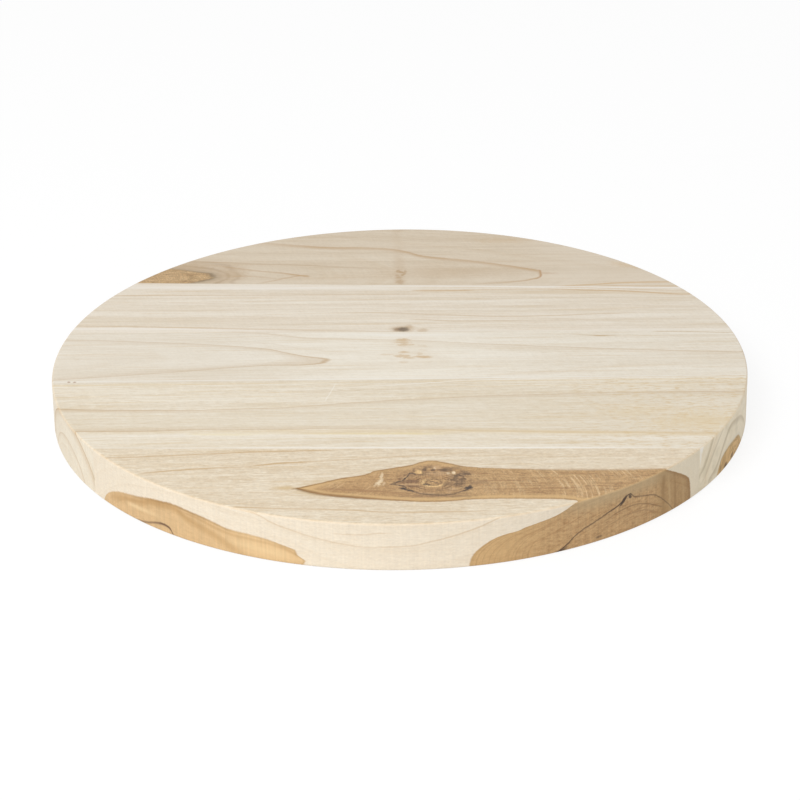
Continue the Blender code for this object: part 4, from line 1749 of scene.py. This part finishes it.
    def heartwood_edge(self, grain: Grain) -> tuple[Field, Field, Field]:
        """How far a point lies outside the heartwood.

        Args:
            grain: the stave's grain.

        Returns:
            Millimetres from the heartwood's outline, less than 0 inside it: first from the whole outline,
            then from its rear and its front line on the top face alone.
        """
        space = grain.space
        bench = space.bench
        astray = space.wobble * self.outline_wander + space.ragged * self.outline_fray
        behind = space.y - bench.curve(space.x, self.flame_rear) + astray
        before = bench.curve(space.x, self.flame_front) - space.y + astray
        top = behind.most(before).most(self.flame_tip - space.x)
        over_lens = space.z - bench.curve(space.bearing, self.lens_height)
        lens_end = bench.curve(space.z, self.lens_end, Course.STRAIGHT)
        past_lens = (space.bearing - lens_end) * RIM_PER_DEGREE
        before_body = bench.curve(space.z, self.body_start) - space.bearing
        past_body = space.bearing - bench.curve(space.z, self.body_end, Course.STRAIGHT)
        rim = over_lens.most(past_lens).least(before_body.most(past_body) * RIM_PER_DEGREE) + astray
        under = bench.math("ABSOLUTE", space.y + self.under_forward) - self.under_half + astray
        whole = top * space.on_top + rim * space.on_rim + under * space.on_underside
        return whole, behind, before

    def flame_wood(self, grain: Grain, heart: Tone, behind: Field, before: Field) -> Tone:
        """The heartwood on the top face: golden along its outline, browner within, with the knot.

        Args:
            grain: the stave's grain.
            heart: the plain heartwood's colour.
            behind: millimetres behind the flame's rear line.
            before: millimetres before its front line.

        Returns:
            The flame's colour.
        """
        space = grain.space
        curve = space.bench.curve
        heart = heart.washed(self.flame_ground, space.on_top)
        heart = heart.scaled(1.0 - space.on_top * self.flame_dimming)
        heart = heart.washed(self.flame_left, space.x.eased(*self.flame_left_step) * space.on_top)
        rear_gold = curve(space.x, self.rear_gold)
        heart = heart.toward(self.golden, behind.near(*self.rear_gold_band) * rear_gold * space.on_top)
        heart = heart.toward(self.golden, before.near(*self.front_gold_band) * space.on_top * self.front_gold)
        heart = heart.toward(self.golden, space.x.eased(*self.tip_step) * space.on_top * self.tip_gold)
        heart = self.brown_lines.over(space, heart)
        return self.knot.over(grain, heart)

    def rim_wood(self, grain: Grain, heart: Tone, edge: Field) -> Tone:
        """The heartwood on the rim: the golden lens at the left and the brown body at the right.

        Args:
            grain: the stave's grain.
            heart: the plain heartwood's colour.
            edge: millimetres outside the heartwood.

        Returns:
            The heartwood's colour on the rim.
        """
        space = grain.space
        bearing = space.bearing
        lens = bearing.eased(*self.lens_step) * space.on_rim
        heart = heart.washed(self.lens_ground, lens)
        heart = heart.washed(self.lens_right, lens * bearing.eased(*self.lens_right_step))
        body = bearing.eased(*self.body_step) * space.on_rim
        heart = heart.washed(self.body_left, body * bearing.eased(*self.body_left_step))
        along, up = self.outline_cell
        followed = space.bench.noise(edge / along, space.z / up, 0.0, detail=1.0).eased(0.0, 0.35)
        heart = heart.washed(self.body_streaks, followed * body * bearing.eased(*self.body_streaks_step))
        under_arris = space.z.eased(*self.body_top_rise) * bearing.eased(*self.body_top_step)
        heart = heart.washed(self.body_top, body * under_arris)
        heart = heart.washed(self.body_right, body * bearing.eased(*self.body_right_step))
        right_edge = edge.near(*self.body_edge_band) * body * bearing.eased(*self.body_edge_step)
        heart = heart.washed(self.body_edge, right_edge)
        for drawing in (self.lens_band, self.lens_light, self.body_bands, self.body_light, self.body_arcs,
                        self.hook):
            heart = drawing.over(space, heart)
        return heart.scaled(1.0 + grain.tooling * lens * self.lens_tooling)

    def features(self, grain: Grain, tone: Tone) -> Tone:
        """The pale wood's lines, and the heartwood with its dark outline, veins and knot.

        Args:
            grain: the stave's grain.
            tone: the pale wood's colour.

        Returns:
            The colour with all of them.
        """
        space = grain.space
        curve, strength = space.bench.curve, space.bench.strength
        edge, behind, before = self.heartwood_edge(grain)
        tone = tone.scaled(1.0 + space.on_rim * self.rim_lift).washed(self.rim_pallor, space.on_rim)
        tone = tone.washed(self.right_rim, space.on_rim * space.bearing.eased(*self.right_rim_step))
        tone = self.pale_lines.over(space, tone)
        tone = self.tip_halo.over(space, tone)
        heart = self.heartwood.tone(grain, self.knot.bent(space))
        heart = self.flame_wood(grain, heart, behind, before)
        heart = self.rim_wood(grain, heart, edge)
        at_rear = (behind - before).eased(-0.5, 0.5) * space.on_top
        blur = curve(space.x, self.rear_blur) * at_rear + (1.0 - at_rear) * self.other_blur
        tone = tone.toward(heart, (edge / blur).eased(0.8, -0.8))
        elsewhere = at_rear * strength(space.x, self.rear_line)
        elsewhere = elsewhere + space.on_rim * strength(space.bearing, self.rim_line)
        uneven = space.wobble.eased(-0.5, 0.4) * self.line_change + (1.0 - self.line_change)
        tone = tone.toward(self.other_edge, edge.near(*self.other_edge_band) * elsewhere * uneven)
        reach = (edge + self.front_inset) / curve(space.x, self.front_reach)
        at_front = (space.on_top - at_rear) * strength(space.x, self.front_line)
        tone = tone.toward(self.front_edge, reach.near(0.0, 1.0) * at_front * uneven)
        return self.veins.over(space, tone)


@dataclass(frozen=True)
class Turning:
    """The round that the staves are split from: fine enough to look round, with both arrises eased."""

    sides: int = 720
    arris_steps: int = 5
    arris_profile: float = 0.5
    support: float = 0.5
    level_within: float = 1e-6

    def build(self) -> bpy.types.Object:
        """Turn the whole round as one blank.

        Returns:
            The blank, standing on its underside at the origin.
        """
        deselect_all()
        height = BOARD_THICKNESS * MILLIMETRE
        bpy.ops.mesh.primitive_cylinder_add(vertices=self.sides, radius=BOARD_RADIUS * MILLIMETRE,
                                            depth=height, location=(0.0, 0.0, height / 2))
        blank = bpy.context.object
        blank.name = "turned_blank"
        bpy.ops.object.transform_apply(location=True, rotation=True, scale=True)
        bpy.ops.object.mode_set(mode="EDIT")
        bpy.ops.mesh.select_mode(type="EDGE")
        self.select_rims(blank)
        bpy.ops.mesh.bevel(offset=ARRIS_RADIUS * MILLIMETRE, segments=self.arris_steps,
                           profile=self.arris_profile, affect="EDGES")
        for level in (ARRIS_RADIUS + self.support, BOARD_THICKNESS - ARRIS_RADIUS - self.support):
            bpy.ops.mesh.select_all(action="SELECT")
            bpy.ops.mesh.bisect(plane_co=(0.0, 0.0, level * MILLIMETRE), plane_no=(0.0, 0.0, 1.0))
        bpy.ops.mesh.select_mode(type="FACE")
        self.select_flats(blank)
        bpy.ops.mesh.inset(thickness=self.support * MILLIMETRE, use_individual=True)
        bpy.ops.object.mode_set(mode="OBJECT")
        return blank

    def select_rims(self, blank: bpy.types.Object) -> None:
        """Select the edges round the top and round the underside.

        Args:
            blank: the blank, in edit mode.
        """
        shape = bmesh.from_edit_mesh(blank.data)
        for edge in shape.edges:
            one, other = edge.verts
            edge.select_set(abs(one.co.z - other.co.z) < self.level_within)
        shape.select_flush_mode()
        bmesh.update_edit_mesh(blank.data)

    def select_flats(self, blank: bpy.types.Object) -> None:
        """Select the top face and the underside.

        Args:
            blank: the blank, in edit mode.
        """
        shape = bmesh.from_edit_mesh(blank.data)
        for face in shape.faces:
            face.select_set(len(face.verts) >= self.sides)
        bmesh.update_edit_mesh(blank.data)


def deselect_all() -> None:
    """Leave nothing selected, so that an operator acts on no CAD node."""
    bpy.ops.object.select_all(action="DESELECT")


@dataclass(frozen=True)
class Studio:
    """The white studio: the floor, the daylight from all sides, the key light and the camera."""

    floor_half: float = 8.0
    floor_gap: float = 0.0002
    ambient: float = 0.60
    paper: tuple[float, float, float, float] = (0.92, 0.92, 0.92, 1.0)
    glow: float = 1.04
    glow_share: float = 0.80
    key_bearing: float = math.radians(240)
    key_rise: float = math.radians(46)
    key_distance: float = 2.4
    key_size: float = 1.3
    key_power: float = 32.0
    lens: float = 140.2
    sensor: float = 36.0
    camera_distance: float = 2.025
    camera_rise: float = math.radians(24.965)
    camera_aim: float = math.radians(25.667)
    camera_roll: float = math.radians(-0.658)

    @staticmethod
    def seen_directly(bench: Bench) -> Field:
        """1 for the rays that show a background, straight, mirrored or through glass, and 0 for light."""
        path = bench.node("ShaderNodeLightPath")
        seen = Field(bench, path.outputs["Is Camera Ray"])
        seen = seen.most(Field(bench, path.outputs["Is Glossy Ray"]))
        return seen.most(Field(bench, path.outputs["Is Transmission Ray"]))

    def surround(self) -> None:
        """White all round for the eye, and softer for the light that it sheds."""
        world = bpy.data.worlds.new("studio_white")
        bpy.context.scene.world = world
        bench = Bench(world)
        light = bench.node("ShaderNodeBackground")
        light.inputs["Color"].default_value = WHITE
        light.inputs["Strength"].default_value = self.ambient
        backdrop = bench.node("ShaderNodeBackground")
        backdrop.inputs["Color"].default_value = WHITE
        backdrop.inputs["Strength"].default_value = 1.0
        blend = bench.node("ShaderNodeMixShader")
        bench.feed(blend.inputs[0], self.seen_directly(bench))
        bench.tree.links.new(light.outputs[0], blend.inputs[1])
        bench.tree.links.new(backdrop.outputs[0], blend.inputs[2])
        output = bench.node("ShaderNodeOutputWorld")
        bench.tree.links.new(blend.outputs[0], output.inputs[0])

    def floor(self) -> bpy.types.Object:
        """A white sweep under the board, which keeps a faint shadow."""
        deselect_all()
        bpy.ops.mesh.primitive_plane_add(size=2 * self.floor_half, location=(0.0, 0.0, -self.floor_gap))
        floor = bpy.context.object
        floor.name = "studio_floor"
        bpy.ops.object.transform_apply(location=True, rotation=True, scale=True)
        material = bpy.data.materials.new("floor_white")
        bench = Bench(material)
        paper = bench.node("ShaderNodeBsdfDiffuse")
        paper.inputs["Color"].default_value = self.paper
        glow = bench.node("ShaderNodeEmission")
        glow.inputs["Color"].default_value = WHITE
        glow.inputs["Strength"].default_value = self.glow
        blend = bench.node("ShaderNodeMixShader")
        bench.feed(blend.inputs[0], self.seen_directly(bench) * self.glow_share)
        bench.tree.links.new(paper.outputs[0], blend.inputs[1])
        bench.tree.links.new(glow.outputs[0], blend.inputs[2])
        output = bench.node("ShaderNodeOutputMaterial")
        bench.tree.links.new(blend.outputs[0], output.inputs[0])
        floor.data.materials.append(material)
        return floor

    def key_light(self) -> bpy.types.Object:
        """A wide soft light from the front left."""
        light = bpy.data.lights.new("key_softbox", "AREA")
        light.shape = "SQUARE"
        light.size = self.key_size
        light.energy = self.key_power
        lamp = bpy.data.objects.new("key_softbox", light)
        flat = math.cos(self.key_rise) * self.key_distance
        lamp.location = (flat * math.cos(self.key_bearing), flat * math.sin(self.key_bearing),
                         math.sin(self.key_rise) * self.key_distance)
        lamp.rotation_euler = (-Vector(lamp.location)).to_track_quat("-Z", "Y").to_euler()
        bpy.context.scene.collection.objects.link(lamp)
        return lamp

    def camera(self) -> bpy.types.Object:
        """The photograph's view."""
        data = bpy.data.cameras.new("photo_camera")
        data.lens = self.lens
        data.sensor_width = self.sensor
        camera = bpy.data.objects.new("photo_camera", data)
        rise = BOARD_THICKNESS * MILLIMETRE + self.camera_distance * math.sin(self.camera_rise)
        place = Matrix.Translation((0.0, -self.camera_distance * math.cos(self.camera_rise), rise))
        tilt = Matrix.Rotation(math.pi / 2 - self.camera_aim, 4, "X")
        roll = Matrix.Rotation(self.camera_roll, 4, "Z")
        camera.matrix_world = place @ tilt @ roll
        bpy.context.scene.collection.objects.link(camera)
        bpy.context.scene.camera = camera
        return camera

    def build(self) -> None:
        """Set up the whole studio."""
        bpy.context.scene.view_settings.view_transform = "Standard"
        self.surround()
        self.floor()
        self.key_light()
        self.camera()


def main() -> None:
    """Build the board's staves in order and dress each."""
    logging.basicConfig(level=logging.INFO, format="%(message)s")
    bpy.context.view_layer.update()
    Studio().build()
    blank = Turning().build()
    for stave in (RearStave(), RearInnerStave(), MiddleStave(), FrontInnerStave(), FrontStave()):
        piece = stave.build(blank)
        stave.dress(piece)
        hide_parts(stave.name)
        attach(piece, "root")
        LOG.info("%s: %d faces, %d nodes", piece.name, len(piece.data.polygons),
                 len(piece.active_material.node_tree.nodes))
    bpy.data.objects.remove(blank, do_unlink=True)


if __name__ == "__main__":
    main()
